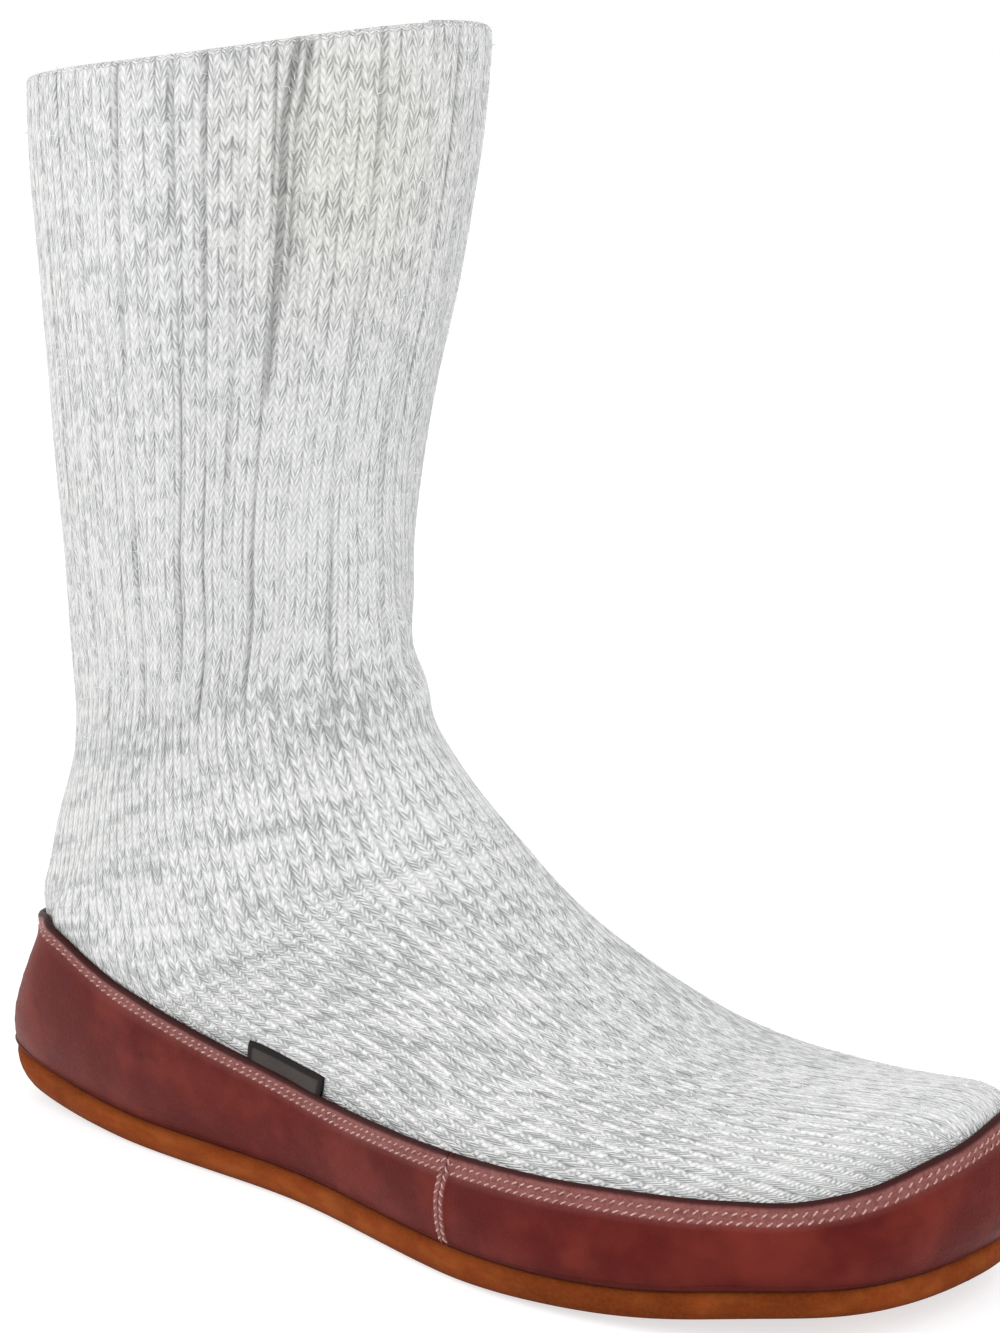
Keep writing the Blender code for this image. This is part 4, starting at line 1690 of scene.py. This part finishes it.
@dataclass
class Outsole:
    """The suede outsole with its rolled edge."""

    surface: FormSurface
    sole: SoleLine
    wrap_stand_off: float = 0.0019
    margin: float = 0.0003
    waist_margin: float = 0.0012
    waist: tuple[float, float] = (-0.006, 0.215)
    waist_ease: float = 0.04
    level: float = 0.0003
    count: int = 170

    def height(self, x: Array, y: Array, share: float) -> Array:
        """Height of the outsole at plan points and a share of its thickness."""
        floor = self.sole.floor(x) + self.sole.hollow(x, y)
        return self.sole.top(x) if share == INSIDE else floor + (self.sole.edge(x) - floor) * share

    def build(self) -> Piece:
        """Model the outsole.

        Returns:
            The piece.
        """
        loop = self.surface.outline(self.level, self.count, self.wrap_stand_off, edge=True)
        back, front = self.waist
        spot = along(loop[:, :1])
        waist = smooth((front - spot) / self.waist_ease) * smooth((spot - back) / self.waist_ease)
        loop = loop + plan_normals(loop, 1) * (self.margin + self.waist_margin * waist)
        return Slab(loop, SOLE_EDGE, self.height, self.sole.roll(loop[:, :1])).build("suede_outsole", True)


@dataclass
class Footbed:
    """The cushion inside, covered in cloth and cupped at the heel."""

    surface: FormSurface
    sole: SoleLine
    thick: float = 0.0058
    lift: float = 0.0019
    cupping: float = 0.0007
    clearance: float = 0.0038
    level: float = 0.004
    count: int = 90

    def height(self, x: Array, y: Array, share: float) -> Array:
        """Height of the footbed.

        Args:
            x: X of plan points.
            y: Y of plan points.
            share: share of its thickness.

        Returns:
            Heights above the floor.
        """
        share = min(share, 1.0)
        cup = self.cupping * share * hill(x + 0.085, 0.03) * hill(y, 0.018)
        return self.sole.top(x) + self.lift + (self.thick - self.lift) * share - cup

    def build(self) -> Piece:
        """Model the footbed."""
        loop = self.surface.outline(self.level, self.count, -self.clearance)
        return Slab(loop, BED_EDGE, self.height).build("cloth_footbed", False)


class RibbonPoint(NamedTuple):
    """One point round the folded ribbon's section: height up the label and distance off the knit."""

    rise: float
    off: float


# up the outer layer, over the fold and down the inner layer, then back inside both, metres
RIBBON_SECTION = tuple(RibbonPoint(*row) for row in (
    (-0.003, 0.00125), (0, 0.00122), (0.002, 0.00128), (0.0028, 0.00127), (0.0033, 0.00125),
    (0.0041, 0.00112), (0.0045, 0.00085), (0.0045, 0.0006), (0.0041, 0.00038), (0.003, 0.0003),
    (0, 0.0003), (-0.003, 0.0003), (-0.003, 0.0006), (0.0026, 0.0006), (0.0037, 0.00068),
    (0.0039, 0.0008), (0.0036, 0.0009), (0, 0.00092), (-0.003, 0.00092),
))


@dataclass
class SideLabel:
    """The blank folded label that stands out of the heel wrap's top edge on the outer side."""

    wall: WrapWall
    start: float = 0.1022
    end: float = 0.1264
    tall: float = 0.0055
    slant: float = 0.0008
    lean: float = 0.0004
    wave: float = 0.0001
    corner_drop: float = 0.00035
    hem: float = 0.0012
    fold_at: float = 0.0028
    edge_fade: tuple[float, float] = (0.0006, 0.0005)
    steps: int = 48

    def build(self) -> Piece:
        """Model the label.

        Returns:
            The folded ribbon, with its weave map in metres and its edge value.
        """
        first, last = (self.wall.run_at(spot, True) for spot in (self.start, self.end))
        turned = run_lengths(np.array(RIBBON_SECTION))
        rows = []
        for share in np.linspace(0.0, 1.0, self.steps + 1):
            run = first + (last - first) * share
            top = self.wall.top(run)
            hem = 1.0 - smooth((min(share, 1.0 - share) * (last - first) - self.hem) / self.edge_fade[0])
            row = []
            for spot, length in zip(RIBBON_SECTION, turned):
                up = max(spot.rise, 0.0) / self.tall
                hit, normal = self.wall.touch(run + self.slant * up, top + spot.rise + 0.0001)
                wave = self.wave * math.sin(share * 9.0 + spot.rise * 400.0)
                point = hit + normal * (spot.off + wave + self.lean * up)
                point.z -= self.corner_drop * abs(2.0 * share - 1.0) ** 8 * up
                fold = smooth((spot.rise - self.fold_at) / self.edge_fade[1])
                row.append((*point, run, length, max(fold, hem)))
            rows.append(row)
        return mapped_grid("side_label", capped(ring(np.array(rows), 1)), ("edge",), woven=True)


# ---------------------------------------------------------------- the studio
class Lamp(NamedTuple):
    """One soft square light: its place, the point that it faces, its side, its watts and its colour."""

    name: str
    at: Triple
    aim: Triple
    size: float
    power: float
    colour: Colour


LAMPS = (
    Lamp("key_light", (-1.1, -0.9, 0.7), (0.0, 0.0, 0.1), 0.9, 9.0, (1.0, 0.99, 0.97)),
    Lamp("side_light", (1.0, -0.6, 0.65), (0.0, 0.0, 0.18), 0.8, 4.4, (1.0, 1.0, 1.0)),
    Lamp("top_light", (0.25, 0.1, 1.6), (0.0, 0.0, 0.0), 1.4, 5.0, (0.98, 0.99, 1.0)),
)


@dataclass
class Studio:
    """Pale floor, soft light and the camera."""

    camera_at: Triple = (0.5171, -0.5217, 0.2681)
    azimuth: float = 43.8
    pitch: float = 11.0
    roll: float = 1.4
    lens: float = 86.3
    sensor: float = 36.0

    def floor(self) -> None:
        """Lay the floor."""
        bm = bmesh.new()
        bmesh.ops.create_grid(bm, x_segments=1, y_segments=1, size=30.0)
        floor = finish(bm, "studio_floor")
        b = Look("studio_paper")
        colour = b.blend(b.speckle(30.0, 3.0), (0.44, 0.444, 0.45), (0.455, 0.455, 0.458))
        floor.data.materials.append(b.done(colour, 0.9, Specular_IOR_Level=0.0, Emission_Strength=0.64,
                                           Emission_Color=(1.0, 1.0, 1.0)))

    def light(self) -> None:
        """Set the even white surround and the soft lights."""
        world = bpy.data.worlds.new("studio_world")
        world.use_nodes = True
        Wiring(world.node_tree).feed(world.node_tree.nodes["Background"], {"Color": (1.0, 1.0, 1.0)})
        bpy.context.scene.world = world
        for lamp in LAMPS:
            data = bpy.data.lights.new(lamp.name, "AREA")
            data.size, data.energy, data.color = lamp.size, lamp.power, lamp.colour
            light = put(lamp.name, data)
            light.location = lamp.at
            light.rotation_euler = (Vector(lamp.aim) - Vector(lamp.at)).to_track_quat("-Z", "Y").to_euler()

    def shoot(self) -> None:
        """Set the camera."""
        data = bpy.data.cameras.new("camera")
        data.lens, data.sensor_width, data.clip_end = self.lens, self.sensor, 200.0
        camera = put("camera", data)
        a, e, r = (math.radians(value) for value in (self.azimuth, self.pitch, self.roll))
        right = Vector((math.cos(a), math.sin(a), 0.0))
        up = Vector((-math.sin(a) * math.sin(e), math.cos(a) * math.sin(e), math.cos(e)))
        right, up = right * math.cos(r) - up * math.sin(r), right * math.sin(r) + up * math.cos(r)
        axes = Matrix((right, up, right.cross(up))).transposed().to_4x4()
        camera.matrix_world = Matrix.Translation(self.camera_at) @ axes
        bpy.context.scene.camera = camera

    def set_up(self) -> None:
        """Build the whole studio."""
        self.shoot()
        self.floor()
        self.light()
        bpy.context.scene.view_settings.view_transform = "Standard"


def main() -> None:
    """Build every piece in order, dress it and report it."""
    logging.basicConfig(level=logging.INFO, format="%(name)s: %(message)s")
    Studio().set_up()
    form, sole = FootForm(), SoleLine()
    surface = FormSurface(form, sole)
    wool, leather, suede = KnitFinish().make(), LeatherFinish().make(), SuedeFinish().make()
    sewing = ThreadFinish("pale_thread", (0.52, 0.33, 0.3), (0.3, 0.15, 0.14)).make()
    fibre = ThreadFinish("wool_fibre", (0.86, 0.86, 0.85), (0.66, 0.67, 0.68)).make()
    bed = ClothFinish("footbed_cloth", (0.74, 0.72, 0.67), (0.5, 0.48, 0.44), 5200.0, 0.00025).make()
    ribbon = ClothFinish("label_ribbon", (0.07, 0.06, 0.054), (0.026, 0.021, 0.019), 9000.0, 0.00012,
                         (0.01, 0.008, 0.008)).make()

    sock = hand_over(KnitSock(form, sole, KnitFlow()).build(), wool, Slot.KNIT, "knit_upper")
    hand_over(KnitFuzz().build(sock), fibre, Slot.KNIT)
    wall = WrapWall(surface, sole)
    wraps = LeatherWraps(wall)
    for wrap, node in zip(wraps.build(), ("heel_wrap", "toe_wrap")):
        hand_over(wrap, leather, Slot.LEATHER, node)
    hand_over(Stitching(wraps).build(), sewing, Slot.LEATHER)
    hand_over(SeamCord(wall).build(), leather, Slot.LEATHER)
    hand_over(Outsole(surface, sole).build(), suede, Slot.SUEDE, "outsole")
    cushion = hand_over(Footbed(surface, sole).build(), bed, Slot.CLOTH, "footbed")
    hand_over(SideLabel(wall).build(), ribbon, Slot.RIBBON, "side_tab")


if __name__ == "__main__":
    main()
